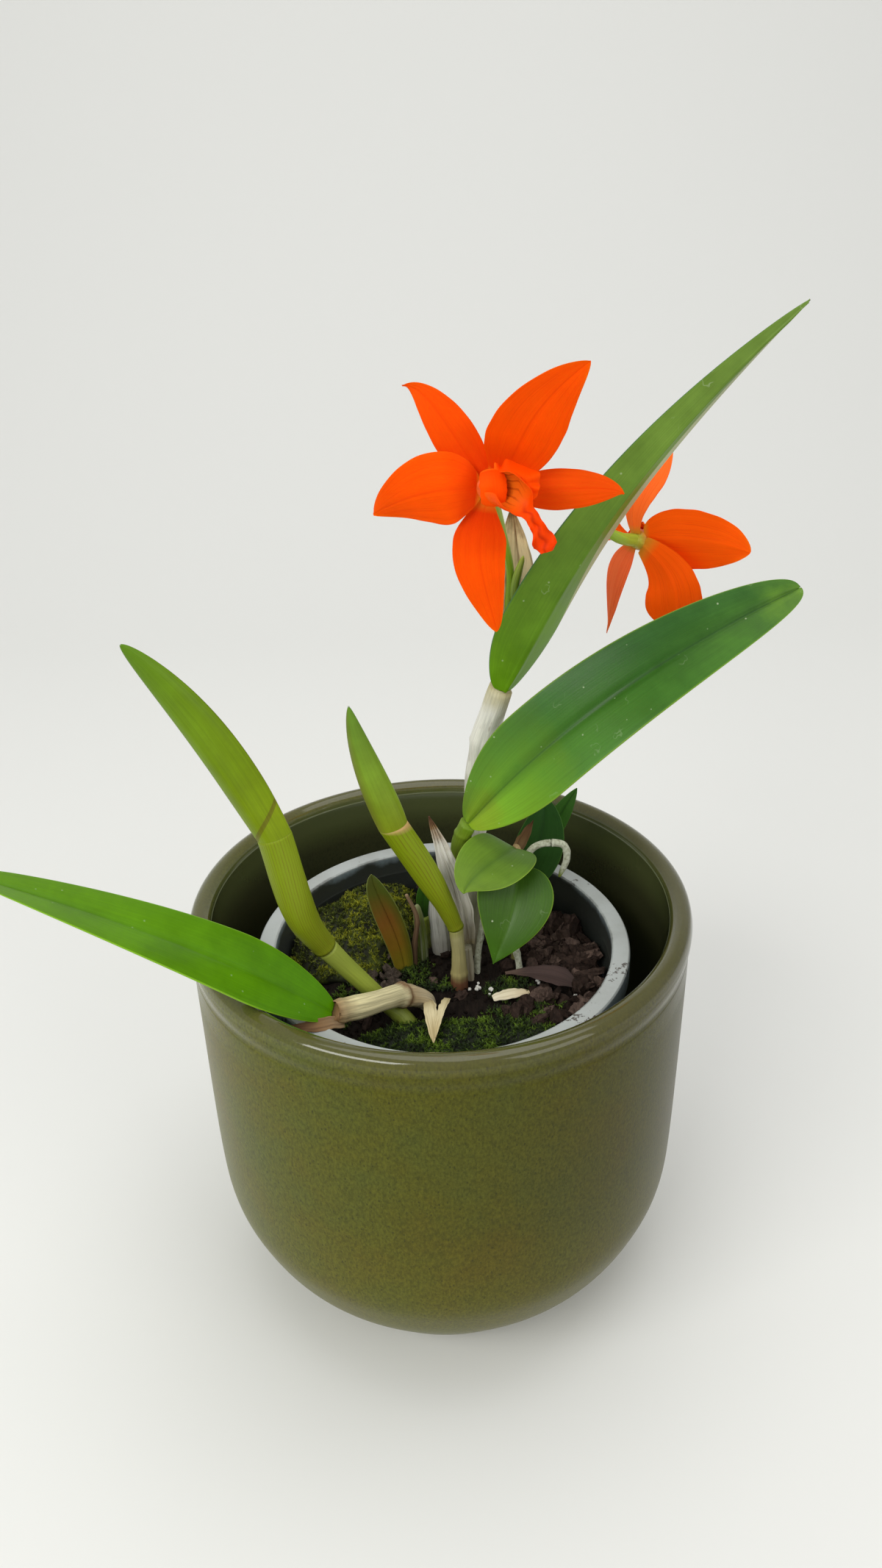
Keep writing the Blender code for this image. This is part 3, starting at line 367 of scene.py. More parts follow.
# Moulded polypropylene: even grey and satin, with specks of soil dried on the rim.
plastic, tree, shader = new_material("moulded_grey_polypropylene", {"Roughness": 0.42, "IOR": 1.49})
grain = grain_of(tree)
axes = split(tree, grain)
# Painted light: the rim's flat top is painted a lighter grey than the walls, as the face turned up to the
# lamps.
height = fade(tree, axes["Z"], 0.1338, 0.1347)
body = paint(tree, height, "#76838A", "#AEB3B1")
smear = noise(tree, grain, GRAIN / 22, 5.0, 0.65)
film = fade(tree, smear, 0.45, 0.75, 0.0, 0.4)
filmed = paint(tree, film, body, "#7C7A70")
crumbs = noise(tree, grain, GRAIN / 1.6, 3.0, 0.6)
cluster = noise(tree, grain, GRAIN / 17, 1.0)
dirty = calc(tree, "MULTIPLY", crumbs, cluster)
soiled = fade(tree, dirty, 0.375, 0.4, 0.0, 0.85)
specked = paint(tree, soiled, filmed, "#3A2E24")
from_centre = add_node(tree, "VectorMath", {0: grain, 1: (POT_CENTRE[0] * MM, POT_CENTRE[1] * MM, 0)},
    operation="SUBTRACT").outputs[0]
level = add_node(tree, "VectorMath", {0: from_centre, 1: (1, 1, 0)}, operation="MULTIPLY").outputs[0]
reach = add_node(tree, "VectorMath", {0: level}, operation="LENGTH").outputs["Value"]
inside = fade(tree, reach, 0.0549, 0.0546)
# A near-black band on the inner wall, from the mix up to just under the rim, with a wavy top edge.
inner_wall_blend = calc(tree, "MULTIPLY_ADD", smear, -0.012, axes["Z"])
below_band_top = fade(tree, inner_wall_blend, 0.1292, 0.1262, 0.0, 0.92)
upper = fade(tree, axes["Z"], 0.1165, 0.1175)
band_above_mix = calc(tree, "MULTIPLY", below_band_top, upper)
inner_dark_band = calc(tree, "MULTIPLY", band_above_mix, inside)
skin = paint(tree, inner_dark_band, specked, "#1E1E14")
wear(tree, shader, skin, crumbs, 0.1)
dress(pot, plastic, "pot_plastic", "nursery_pot")


# The potting mix. Composted bark with soil between the pieces: dark crumbs in the middle, flakes of bark
# to the right, greyer lumps behind the left growth, poured in and settled just under the pot's rim.
MIX_LEVEL = 118.5
MIX_EDGE = 52.7
FLAKE_REACH = 51
FLAKES, LUMPS, ALL_LOOSE = 290, 34, 1500  # how many flakes, then rotted lumps, then with the crumbs in all
SOIL_TONE = -0.15  # tones run from rotted grey at -0.6 through dark soil to fresh bark at 1
MOSS_BACK = dict(centre=(-30, 22), half=(20, 30), spin=-28, height=10, seed=3)
MOSS_FRONT = dict(centre=(6, -37), half=(36, 11), spin=2, height=3.2, seed=8)
STEM_FEET = [(10.5, 10), (5.6, 2.6), (5.5, -7), (-8.6, -26), (-4, -15.6), (18.5, 15), (24.5, 5.5),
    (24.5, 20), (29, 31), (-4.4, 16.2), (0.4, 12), (-6.2, 9.2), (-8.5, 4.2), (9.2, -2.6), (-12.4, 3.4),
    (26.2, -1.4), (11.6, -0.4)]


def inside_moss(moss, x, y):
    """How far out in a cushion a place lies: under 1 is inside its outline."""
    turn = math.radians(moss["spin"])
    dx, dy = x - moss["centre"][0], y - moss["centre"][1]
    return math.hypot((dx * math.cos(turn) + dy * math.sin(turn)) / moss["half"][0],
        (dy * math.cos(turn) - dx * math.sin(turn)) / moss["half"][1])


def mix_height(x, y):
    return MIX_LEVEL - 0.5 + 0.9 * waves(5, x / 16, y / 16) + 0.5 * waves(6, x / 4, y / 4, count=14)


mix_profile = np.vstack([[(0, 11.3), (20, 11.3), (39, 11.3), (45.8, 64), (MIX_EDGE - 0.1, 116.6)],
        [(r, MIX_LEVEL) for r in np.linspace(MIX_EDGE - 0.6, 0, 56)]])
mix = turn_on_wheel("potting_mix_bed", mix_profile, 190, POT_CENTRE)
for mark in mix.data.attributes["spot"].data:
    mark.vector.z = SOIL_TONE
for point in mix.data.vertices:
    if point.co.z > 118 * MM:
        x, y = point.co.x / MM, point.co.y / MM
        reach = math.dist((x, y), POT_CENTRE)
        point.co.z = (mix_height(x, y) if reach < MIX_EDGE - 2 else MIX_LEVEL - 1.5) * MM


def model_flake(name, size, seed):
    """One flake of bark, split along its grain: a bevelled block with its corners pushed about."""
    draw = random.Random(seed)
    bpy.ops.mesh.primitive_cube_add(size=1)
    flake = bpy.context.object
    flake.name = name
    flake.scale = size
    bpy.ops.object.transform_apply(location=False, rotation=False, scale=True)
    bpy.ops.object.mode_set(mode="EDIT")
    bpy.ops.mesh.subdivide(number_cuts=2)
    bpy.ops.object.mode_set(mode="OBJECT")
    for point in flake.data.vertices:
        share = Vector(2 * c / s for c, s in zip(point.co, size))
        point.co *= 1 - 0.2 * max(0, share.length - 0.85) - 0.3 * draw.random() * abs(share.x) ** 3
        point.co += Vector(s * draw.uniform(-0.07, 0.07) for s in size)
    return flake


def scatter(name, models, places, mark):
    """Copies of the models, each with a mesh of its own, set out as one piece and given its own tone."""
    points, faces, spots, base = [], [], [], 0
    shapes = [(np.array([p.co for p in m.data.vertices]), [tuple(f.vertices) for f in m.data.polygons])
        for m in models]
    for k, (matrix, tone) in enumerate(places):
        own, rings = shapes[k % len(shapes)]
        turn = np.array(matrix)
        points.append(own @ turn[:3, :3].T + turn[:3, 3])
        spots.append(mark(own, tone))
        faces += [tuple(i + base for i in ring) for ring in rings]
        base += len(own)
    mesh = bpy.data.meshes.new(name)
    mesh.from_pydata((np.vstack(points) * MM).tolist(), [], faces)
    mesh.attributes.new("spot", "FLOAT_VECTOR", "POINT").data.foreach_set("vector", np.vstack(spots).ravel())
    for model in models:
        bpy.data.objects.remove(model)
    piece = bpy.data.objects.new(name, mesh)
    bpy.context.scene.collection.objects.link(piece)
    return piece


def toned(own, tone):
    """Marks for copies that their material colours by their tone."""
    return np.column_stack([own[:, :2], np.full(len(own), tone)])


def lay(x, y, z, size, draw, tip=0.5):
    """A copy's place: its size, a random turn and tilt, and where it lies."""
    turn = Matrix.Rotation(draw.uniform(0, 6.28), 4, "Z") @ Matrix.Rotation(draw.uniform(-tip, tip), 4, "Y")
    turned = Matrix.Translation((x, y, z)) @ turn @ Matrix.Rotation(draw.uniform(-tip, tip), 4, "X")
    return turned @ Matrix.Scale(size, 4)


def heaped(x, y):
    """The mix's height where it banks up against the pot's wall."""
    return mix_height(x, y) + 3.2 * max(0, math.dist((x, y), POT_CENTRE) - 41) / 10


def clear_of_stems(x, y, room):
    return all(math.dist((x, y), foot) > room for foot in STEM_FEET)


draw = random.Random(12)
flakes = []
while len(flakes) < FLAKES:  # bark to the right and behind, with a few flakes anywhere
    x, y = draw.uniform(-50, 52), draw.uniform(-52, 48)
    in_bark = x > 20 and y > -28 or y > 22 and x > -6
    outside = math.dist((x, y), POT_CENTRE) > FLAKE_REACH or not clear_of_stems(x, y, 4.5)
    if outside or draw.random() > (1 if in_bark else 0.06):
        continue
    # room is left for the litter
    if 17 < x < 44 and abs(y + 3.5 + 0.42 * (x - 21)) < 5 or 15 < x < 30 and -18 < y < -11:
        continue
    if min(inside_moss(MOSS_BACK, x, y), inside_moss(MOSS_FRONT, x, y)) > 0.92:
        size = draw.uniform(0.75, 1.45) * (1 if in_bark else 0.6)
        flakes.append((lay(x, y, heaped(x, y) + draw.uniform(0, 2.4), size, draw, 0.9),
                draw.uniform(0.25, 1)))
for _ in range(LUMPS):  # greyer, more rotted lumps between the moss and the growths
    x, y = draw.uniform(-31, -14), draw.uniform(-9, 20)
    if clear_of_stems(x, y, 4.5) and inside_moss(MOSS_BACK, x, y) > 0.8:
        flakes.append((lay(x, y, mix_height(x, y) + draw.uniform(0.6, 3), draw.uniform(0.6, 1.0), draw, 1.2),
                -0.6))
while len(flakes) < ALL_LOOSE:  # crumbs
    x, y = draw.uniform(-52, 52), draw.uniform(-56, 48)
    if math.dist((x, y), POT_CENTRE) < 50 and clear_of_stems(x, y, 2.4):
        flakes.append((lay(x, y, mix_height(x, y) + 0.2, draw.uniform(0.12, 0.36), draw, 1.5),
                draw.uniform(-0.2, 0.25)))
models = [model_flake("flake", size, seed) for seed, size in enumerate(((7.5, 3.8, 2.4), (5.4, 4.2, 3.0),
            (9.4, 3.0, 2.0), (4.8, 3.4, 2.8)))]
chips = scatter("bark_flakes", models, flakes, toned)
for point in chips.data.vertices:  # those that meet the wall lie along it
    reach = math.dist((point.co.x / MM, point.co.y / MM), POT_CENTRE)
    if reach > MIX_EDGE:
        for k in (0, 1):
            point.co[k] = (POT_CENTRE[k] + (point.co[k] / MM - POT_CENTRE[k]) * MIX_EDGE / reach) * MM
fuse(mix, chips)

# Pine bark, composted: red-brown flakes with a fine grain, greyer where rotted, and near-black soil.
bark, tree, shader = new_material("composted_pine_bark", {"Roughness": 0.85, "Specular IOR Level": 0.12})
grain = grain_of(tree)
tone = split(tree, spot_of(tree))["Z"]
shift = fade(tree, tone, -0.6, 1.0)
base = ramp(tree, shift, ((0.0, "#4E443C"), (0.3, "#120C08"), (0.45, "#19110C"), (0.6, "#211712"),
        (0.85, "#372B25"), (1.0, "#5A4A42")))
fibre = noise(tree, stretch(tree, grain, (1.0, 0.35, 1.0)), GRAIN / 1.2, 4.0, 0.7)
lit = fade(tree, fibre, 0.3, 0.7, 0.4, 1.7)
worn = tone_by(tree, base, lit)
wear(tree, shader, worn, fibre, 0.7, 0.0006)
dress(mix, bark, "bark_mix", "potting_mix")

# Perlite: a few puffed white grains lie among the bark.
draw = random.Random(31)
PERLITE_SPOTS = ((10.5, -8.6), (12.2, -8.0), (10.8, -10.2), (14.8, -12.5), (31, -6), (38, 8), (44, -14),
    (-3, 30))
grains = []
for x, y in np.repeat(PERLITE_SPOTS, 2, axis=0).tolist():
    place = lay(x + draw.uniform(-1.6, 1.6), y + draw.uniform(-1.6, 1.6), mix_height(x, y) + 1.0,
        draw.uniform(0.5, 0.95), draw, 1.5)
    grains.append((place, draw.random()))
bpy.ops.mesh.primitive_ico_sphere_add(subdivisions=2, radius=0.8)
grit = bpy.context.object
for point in grit.data.vertices:
    point.co *= 1 + 0.25 * math.sin(7 * point.co.x + 5 * point.co.y) * math.cos(6 * point.co.z)
perlite = scatter("perlite_grains", [grit], grains, toned)
puffed, tree, shader = new_material("puffed_perlite", {"Roughness": 0.85, "IOR": 1.5})
pores = noise(tree, grain_of(tree), GRAIN / 0.6)
chalk = ramp(tree, pores, ((0.3, "#B9B6AC"), (0.7, "#EFEDE6")))
wear(tree, shader, chalk)
dress(perlite, puffed, "papery_bulb")


# The moss. Two cushions of fine creeping moss on the mix, one behind on the left and one along the front,
# with looser tufts between the growths. Each is a low mound set all over with tiny leafy shoots.
def within_pot(x, y):
    """The place itself, or the nearest one clear of the nursery pot's wall."""
    reach = math.dist((x, y), POT_CENTRE)
    share = min(1, (MIX_EDGE - 1) / max(reach, 1))
    return POT_CENTRE[0] + (x - POT_CENTRE[0]) * share, POT_CENTRE[1] + (y - POT_CENTRE[1]) * share


def on_cushion(moss, angle, share):
    """A cushion's surface: its place and height at an angle and a share of the way out from its middle."""
    turn = math.radians(moss["spin"])
    edge = share * (1 + 0.07 * math.sin(3 * angle + moss["seed"]) + 0.05 * math.sin(7 * angle))
    along, across = moss["half"][0] * edge * math.cos(angle), moss["half"][1] * edge * math.sin(angle)
    x, y = within_pot(moss["centre"][0] + along * math.cos(turn) - across * math.sin(turn),
        moss["centre"][1] + along * math.sin(turn) + across * math.cos(turn))
    tuft = 0.86 + 0.2 * waves(moss["seed"], x / 9, y / 9) + 0.1 * waves(moss["seed"] + 1, x / 3, y / 3)
    return x, y, MIX_LEVEL + GAP + 0.7 + (moss["height"] - 1.6) * (1 - share ** 5) * tuft


def grow_cushion(name, moss):
    def place(u, v):
        out = np.empty((v.size, u.size, 3))
        for row, share in enumerate(v[:, 0]):
            for column, turn in enumerate(u[0]):
                reach = min(share / 0.9, 1)
                x, y, z = on_cushion(moss, 2 * math.pi * (turn % 1), reach)
                out[row, column] = (x, y, z if share <= 0.9 else MIX_LEVEL - 0.6)
        return out
    return roll_up(name, place, lambda u, v: (u * 0, u * 0, u * 0 + v * 0.2), 90, 30)


def model_shoot(name, leaflets, length, seed):
    """One moss shoot: a pointed stem with narrow leaflets that stand out round it."""
    draw = random.Random(seed)
    parts = []
    for k in range(leaflets + 1):
        stem = k == leaflets
        tall = length if stem else length * draw.uniform(0.42, 0.6)
        bpy.ops.mesh.primitive_cone_add(vertices=3, radius1=0.26 if stem else 0.24, radius2=0, depth=tall)
        part = bpy.context.object
        splay = 0 if stem else draw.uniform(0.7, 1.1)
        turn = Matrix.Rotation(2.4 * k, 4, "Z") @ Matrix.Rotation(splay, 4, "Y")
        lift = Matrix.Translation((0, 0, 0 if stem else length * (0.1 + 0.62 * k / leaflets)))
        part.data.transform(lift @ turn @ Matrix.Translation((0, 0, tall / 2)) @ part.matrix_world.inverted())
        parts.append(part)
    fuse(parts[-1], *parts)
    parts[-1].name = name
    return parts[-1]


def grow_shoots(name, places, seed):
    draw = random.Random(seed)
    models = [model_shoot("shoot", *form) for form in ((4, 2.0, 0), (5, 2.6, 1), (4, 1.6, 2))]
    copies = []
    for x, y, z in places:
        turn = Matrix.Rotation(draw.uniform(0, 6.28), 4, "Z") @ Matrix.Rotation(draw.uniform(-0.5, 0.5), 4,
            "Y")
        scale = Matrix.Scale(draw.uniform(0.6, 1.15), 4)
        copies.append((Matrix.Translation((x, y, z - 0.5)) @ turn @ scale, draw.uniform(0, 1)))

    def mark(own, tone):
        return np.column_stack([own[:, 0] * 0 + tone, own[:, 1], own[:, 2] / 2.6])
    return scatter(name, models, copies, mark)


def moss_skin(name, shade, leafy, tips):
    """Living moss: painted shade between the shoots; tips paler with new growth and painted light through
    them.
    """
    material, tree, shader = new_material(name, {"Roughness": 0.7, "IOR": 1.42})
    spot = split(tree, spot_of(tree))
    clump = noise(tree, grain_of(tree), GRAIN / 7)
    bright = fade(tree, clump, 0.38, 0.62, -0.2, 0.3)
    tone = calc(tree, "MULTIPLY_ADD", spot["X"], 0.4, bright)
    up = calc(tree, "MULTIPLY_ADD", spot["Z"], 0.62, tone)
    colour = ramp(tree, up, ((0.08, shade), (0.5, leafy), (1.0, tips)))
    wear(tree, shader, colour)
    return material


for moss, node, count, colours in ((MOSS_BACK, "moss_back", 2900, ("#1A1D05", "#4B5610", "#9A9B1C")),
        (MOSS_FRONT, "moss_front", 2300, ("#0E1306", "#283A0C", "#66821A"))):
    draw = random.Random(moss["seed"] * 7)
    mound = grow_cushion(node + "_mound", moss)
    shoots = grow_shoots(node + "_shoots", [on_cushion(moss, draw.uniform(0, TURN), draw.random() ** 0.5)
            for _ in range(count)], moss["seed"])
    fuse(mound, shoots)
    dress(mound, moss_skin(node + "_leaves", *colours), node, node)
draw = random.Random(77)
tufts = []
for centre, reach, count in (((-11, 2), (9, 8), 260), ((-2, -8), (8, 5), 120), ((22, -10), (9, 6), 260),
        ((-26, -12), (9, 9), 200), ((34, -22), (10, 7), 260), ((3, 22), (9, 8), 120),
        ((-12, 38), (11, 8), 200), ((-34, -20), (7, 8), 160), ((24, -24), (12, 7), 260)):
    for _ in range(count):
        angle, out = draw.uniform(0, TURN), draw.random() ** 0.7
        x, y = within_pot(centre[0] + reach[0] * out * math.cos(angle),
            centre[1] + reach[1] * out * math.sin(angle))
        tufts.append((x, y, mix_height(x, y) + 0.7))
dress(grow_shoots("moss_tufts", tufts, 5), moss_skin("moss_tuft_leaves", "#10150A", "#2C3F10", "#5F7A1A"),
    "moss_front")


# The canes. Each growth stands on a slim cane out of the mix: a new one is fleshy and green, an old one is
# wrapped in the papery remains of its sheaths. A ring marks each node along it.
def unit(vector):
    vector = np.asarray(vector, float)
    return vector / np.linalg.norm(vector, axis=-1, keepdims=True)


def up_to_leaf(path, leaf, back=0.0, gap=GAP):
    """The line of a cane carried on to just below its leaf's base, and the way that the leaf leaves it."""
    base, second = np.asarray(leaf["path"][0], float), np.asarray(leaf["path"][1], float)
    along = unit(second - base)
    up = unit(np.asarray(leaf["face"], float) - (np.dot(leaf["face"], along)) * along)
    return (*path, tuple(base - along * gap + up * back)), along, np.cross(up, along)


def grow_tube(name, path, radii, ends=(None, None), flat=1.0, side=(1, 0, 0), around=32, per=12, ribs=0.0,
        rings=(), uneven=0.05, seed=1, shrink=0.0, onto=None):
    """A round stem on a smooth line: ribs and rings in mm, unevenness as a share of its radius. onto is the
    outline, about its end, that it changes into."""
    line = smooth_path(path, per)
    stations = np.linspace(0, 1, len(line))
    radius = np.interp(stations, np.linspace(0, 1, len(radii)), radii)
    along = unit(np.gradient(line, axis=0))
    for place, direction in zip((0, -1), ends):
        if direction is not None:
            along[place] = unit(direction)
    side = np.asarray(side, float)
    wide = unit(side - (along @ side)[:, None] * along)
    deep = np.cross(along, wide)
    squash = 1 + (flat - 1) * stations ** 2
    length = np.linalg.norm(np.diff(line, axis=0), axis=1).sum()

    def place(u, v):
        turn = 2 * np.pi * u
        swell = radius[:, None] * (1 + uneven * waves(seed, 0.5 * np.cos(turn), 0.5 * np.sin(turn),
                v * length / 14))
        swell = swell + ribs * waves(seed + 50, 2.6 * np.cos(turn), 2.6 * np.sin(turn), v * length / 90,
            count=16)
        for where, height, width in rings:
            swell = swell + height * np.exp(-((v - where) * length / width) ** 2)
        swell = swell * (1 - shrink * np.clip((v - 0.9) * 10, 0, 1) ** 2)
        skin = ((np.cos(turn) * swell)[..., None] * wide[:, None]
            + (np.sin(turn) * swell * squash[:, None])[..., None] * deep[:, None])
        if onto is not None:
            blend = np.clip((v - 0.3) / 0.7, 0, 1)
            blend = (blend * blend * (3 - 2 * blend))[..., None]
            skin = skin * (1 - blend) + onto * blend
        return line[:, None] + skin

    def spot(u, v):
        return np.cos(2 * np.pi * u), np.sin(2 * np.pi * u), v + 0 * u
    return roll_up(name, place, spot, around, len(line) - 1)


def stray(tree, way, drift, amount):
    """The way along a piece, shifted a little by noise so that its colours meet unevenly."""
    return calc(tree, "ADD", way, calc(tree, "MULTIPLY_ADD", drift, amount, -amount / 2))


def cane_skin(name, stops, length, girth, fibre=0.5, streak="#6E5638", streaks=0.5, roughness=0.5,
        blotch=0.3):
    """A cane's skin: colours from foot to top, fine ribs along it and brown flecks where it has aged."""
    material, tree, shader = new_material(name, {"Roughness": roughness, "IOR": 1.42})
    spot = spot_of(tree)
    grain = grain_of(tree)
    stretched = stretch(tree, spot, (girth / fibre, girth / fibre, length / 16))
    fibres = noise(tree, stretched, 1.0, 3.0, 0.6)
    drift = noise(tree, grain, GRAIN / 9, 3.0)
    place = split(tree, spot)["Z"]
    way = stray(tree, place, drift, 0.16)
    colour = ramp(tree, way, stops)
    lit = fade(tree, fibres, 0.3, 0.7, 1 - blotch, 1 + blotch * 0.7)
    ribbed = tone_by(tree, colour, lit)
    flecks = calc(tree, "MULTIPLY", fibres, drift)
    aged = fade(tree, flecks, 0.3, 0.38, 0.0, streaks)
    skin = paint(tree, aged, ribbed, streak)
    wear(tree, shader, skin, fibres, 0.35)
    return material


LEAF_A = dict(path=((21.6, 15.6, 213), (36.8, 13, 245.2), (46.8, 6, 276.2), (98, 4, 324)),
    face=(-0.3, 0.9, 0.3), turn=(7, 7), half=12.2, base=3.2, peak=0.22, rise=0.65, fall=0.74, fold=22,
    thick=2.2)
LEAF_B = dict(path=((9.8, 8, 171), (33.5, -1, 205), (62.5, 3, 227), (108.85, 16, 243.6)),
    face=(-0.25, -0.85, 0.45), turn=(-8, -10), half=15.0, base=2.2, peak=0.28, rise=0.7, fall=0.4, fold=14,
    thick=2.2)
LEAF_C = dict(path=((-12.9, -10, 180), (-15.6, -11, 190), (-22.6, -12, 208), (-24, -13, 222.6)),
    face=(0.1, -0.9, 0.3), turn=(0, 0), half=5.6, base=5.3, peak=0.2, rise=1.0, fall=0.7, curl=(-58, -58),
    thick=1.8)
LEAF_D = dict(path=((-46.4, -30, 189.5), (-57.2, -31, 217), (-65.4, -31, 233), (-80.2, -30, 249.6)),
    face=(-0.3, -0.8, 0.5), turn=(0, 0), half=6.9, base=6.0, peak=0.24, rise=1.0, fall=0.56, curl=(-44, -44),
    thick=1.9)
LEAF_E = dict(path=((-32.9, -40, 135.8), (-59.5, -49, 163), (-88.5, -55, 182), (-126.1, -53, 196.6)),
    face=(0, -0.55, 0.83), turn=(8, 48), half=11.4, base=2.6, peak=0.31, rise=0.72, fall=0.4, fold=12,
    thick=2.2)
LEAF_F1 = dict(path=((25, 8, 161), (21.5, 0, 164.5), (8.5, -8, 161), (7.5, -14, 159)), face=(0, -0.6, 0.8),
    turn=(13, 2), half=11.0, base=1.6, peak=0.36, rise=0.32, fall=0.85, fold=8, thick=1.4)
LEAF_F2 = dict(path=((25.5, 5, 156), (25, -1, 149), (22, -8, 142), (16.5, -12, 130.5)), face=(0, -0.8, 0.6),
    turn=(0, 0), half=12.4, base=1.6, peak=0.34, rise=0.4, fall=1.0, fold=10, thick=1.4)
LEAF_G1 = dict(path=((27, 23, 136), (33, 26, 144), (37, 29, 156), (36, 31, 167)), face=(0.1, -0.9, 0.4),
    turn=(0, 0), half=8.6, base=1.8, peak=0.45, rise=0.6, fall=0.7, fold=12, thick=1.3)
LEAF_G2 = dict(path=((30.5, 33, 137), (37, 35, 148), (42, 37, 156), (48, 38, 166)), face=(0.1, -0.9, 0.4),
    turn=(0, 0), half=4.0, base=1.6, peak=0.5, rise=0.7, fall=0.7, fold=14, thick=1.3)
LEAF_H = dict(path=((-5.2, 16, 130), (-6.5, 16, 135), (-5, 16, 143), (-2.5, 15, 147)), face=(0.1, -0.9, 0.4),
    turn=(0, 0), half=2.6, base=1.4, peak=0.5, rise=0.8, fall=0.7, fold=15, thick=1.2)
STEM_END = 112.5

for name, slot, path, leaf, top, radii, shape, skin, stops, look in (
        ("cane_a_wrapped", "papery_cane", ((10.5, 10, STEM_END), (11, 14, 134), (11.8, 19, 152),
                (13.2, 22.5, 172), (15.6, 22, 193)), LEAF_A, 2.2, (2.4, 2.7, 3.1, 4.2, 4.6, 3.7),
            dict(ribs=0.16, uneven=0.07, seed=11, around=48,
                rings=((0.24, 0.35, 1.1), (0.5, 0.4, 1.2), (0.8, 0.35, 1.2))), "papery_old_sheath",
            ((0.0, "#7A6A4A"), (0.2, "#C0BCA4"), (0.5, "#E8E6D8"), (0.9, "#E4E3D6"), (1.0, "#B0A87A")),
            dict(length=105, girth=4, streaks=0.45, roughness=0.75, blotch=0.25)),
        ("cane_b_green", "green_cane", ((5.6, 2.6, STEM_END), (5.8, 4.5, 130), (5.9, 7.5, 148),
                (7.0, 8.8, 163)), LEAF_B, 0.0, (2.3, 2.4, 2.5, 2.8, 2.7),
            dict(ribs=0.07, seed=12, rings=((0.45, 0.3, 0.9), (0.86, 0.35, 0.8))), "green_cane",
            ((0.0, "#7A7040"), (0.3, "#8A9A30"), (1.0, "#6F9016")),
            dict(length=60, girth=2.6, streaks=0.25, blotch=0.15)),
        ("cane_c_foot", "tan_cane", ((5.5, -7, STEM_END), (5.7, -7, 121), (5.6, -7.2, 132),
                (4.9, -7.8, 142)), None, (-3.4, -1.0, 20), (2.9, 2.9, 2.1, 2.3),
            dict(ribs=0.08, seed=13, rings=((0.42, 0.3, 0.7),)), "ripening_cane",
            ((0.0, "#4E3423"), (0.32, "#6B4630"), (0.44, "#A59A66"), (0.9, "#B0AA78"), (1.0, "#9A9A50")),
            dict(length=30, girth=2.4, streaks=0.3, blotch=0.2)),
        ("cane_d_foot", "olive_cane", ((-8.6, -26, STEM_END), (-11, -24.8, 118.5), (-18.5, -21.6, 124.6),
                (-27.4, -23.4, 137.4), (-34.6, -26, 149)), None, (-12.2, -4.6, 26.2),
            (2.6, 2.7, 2.7, 2.9, 3.3), dict(ribs=0.05, seed=14, around=40, rings=((0.36, 0.25, 0.8),)),
            "olive_cane", ((0.0, "#6B5A30"), (0.25, "#7F8A34"), (0.7, "#95A43C"), (1.0, "#9CAA44")),
            dict(length=48, girth=2.7, streaks=0.15, blotch=0.14)),
        ("cane_e_papery", "straw_cane", ((-4.0, -15.6, STEM_END), (-5.4, -17, 120.5), (-12, -23, 127.8),
                (-19, -30.4, 131.8), (-26, -35.8, 133.9)), LEAF_E, 0.0, (2.2, 2.9, 3.5, 3.3, 3.7, 3.4),
            dict(ribs=0.14, uneven=0.06, seed=15, around=48,
                rings=((0.42, 0.75, 0.9), (0.36, 0.2, 1.4), (0.93, 0.3, 1.2))), "straw_papery_sheath",
            ((0.0, "#8A6A4A"), (0.2, "#D0C2A2"), (0.38, "#C0AA84"), (0.42, "#7A5A3C"), (0.46, "#CCC298"),
                (0.8, "#D0C698"), (1.0, "#8A6A44")), dict(length=52, girth=3.3, fibre=0.45, streaks=0.55,
                streak="#7E5F3E", roughness=0.7, blotch=0.4))):
    # top is how far behind its leaf's base a cane ends, or the way it points where a sheath follows it
    path, top, _ = up_to_leaf(path, leaf, back=top) if leaf else (path, unit(top), None)
    cane = grow_tube(name, path, radii, ends=(None, top), **shape)
    dress(cane, cane_skin(skin, stops, **look), slot, name[:6])
small_stem = cane_skin("small_green_stem", ((0.0, "#7A6A40"), (0.4, "#8F9A50"), (1.0, "#8FA03A")), 40, 1.6,
    streaks=0.3, blotch=0.2)
tan_stem = cane_skin("tan_and_pink_stem", ((0.0, "#5A4330"), (0.5, "#A9A272"), (0.8, "#B4A078"),
        (1.0, "#A48A60")), 48, 1.6, streaks=0.45, blotch=0.25)
for seed, (node, path, radii, leaf, skin) in enumerate((
            ("stem_f1", ((18.5, 15, STEM_END), (21.5, 17, 136), (26, 15, 152)), (1.5, 1.5, 1.8, 1.5),
                LEAF_F1, tan_stem),
            ("stem_f2", ((24.5, 5.5, STEM_END), (25.5, 9.6, 132), (26, 9, 148)), (1.4, 1.4, 1.5, 1.5),
                LEAF_F2, small_stem),
            ("stem_g1", ((24.5, 20, STEM_END), (25, 20.8, 124)), (1.6, 1.7, 1.7), LEAF_G1, small_stem),
            ("stem_g2", ((29, 31, STEM_END), (29, 31.5, 125)), (1.5, 1.6, 1.6), LEAF_G2, small_stem),
            ("stem_h", ((-4.4, 16.2, STEM_END), (-4.8, 16, 122)), (1.3, 1.3, 1.3), LEAF_H, small_stem))):
    line, along, _ = up_to_leaf(path, leaf)
    stem = grow_tube(node + "_round", line, radii, ends=(None, along), ribs=0.05, rings=((0.6, 0.2, 0.6),),
        around=24, seed=20 + seed)
    dress(stem, skin, "tan_cane" if node == "stem_f1" else "green_stem", node)


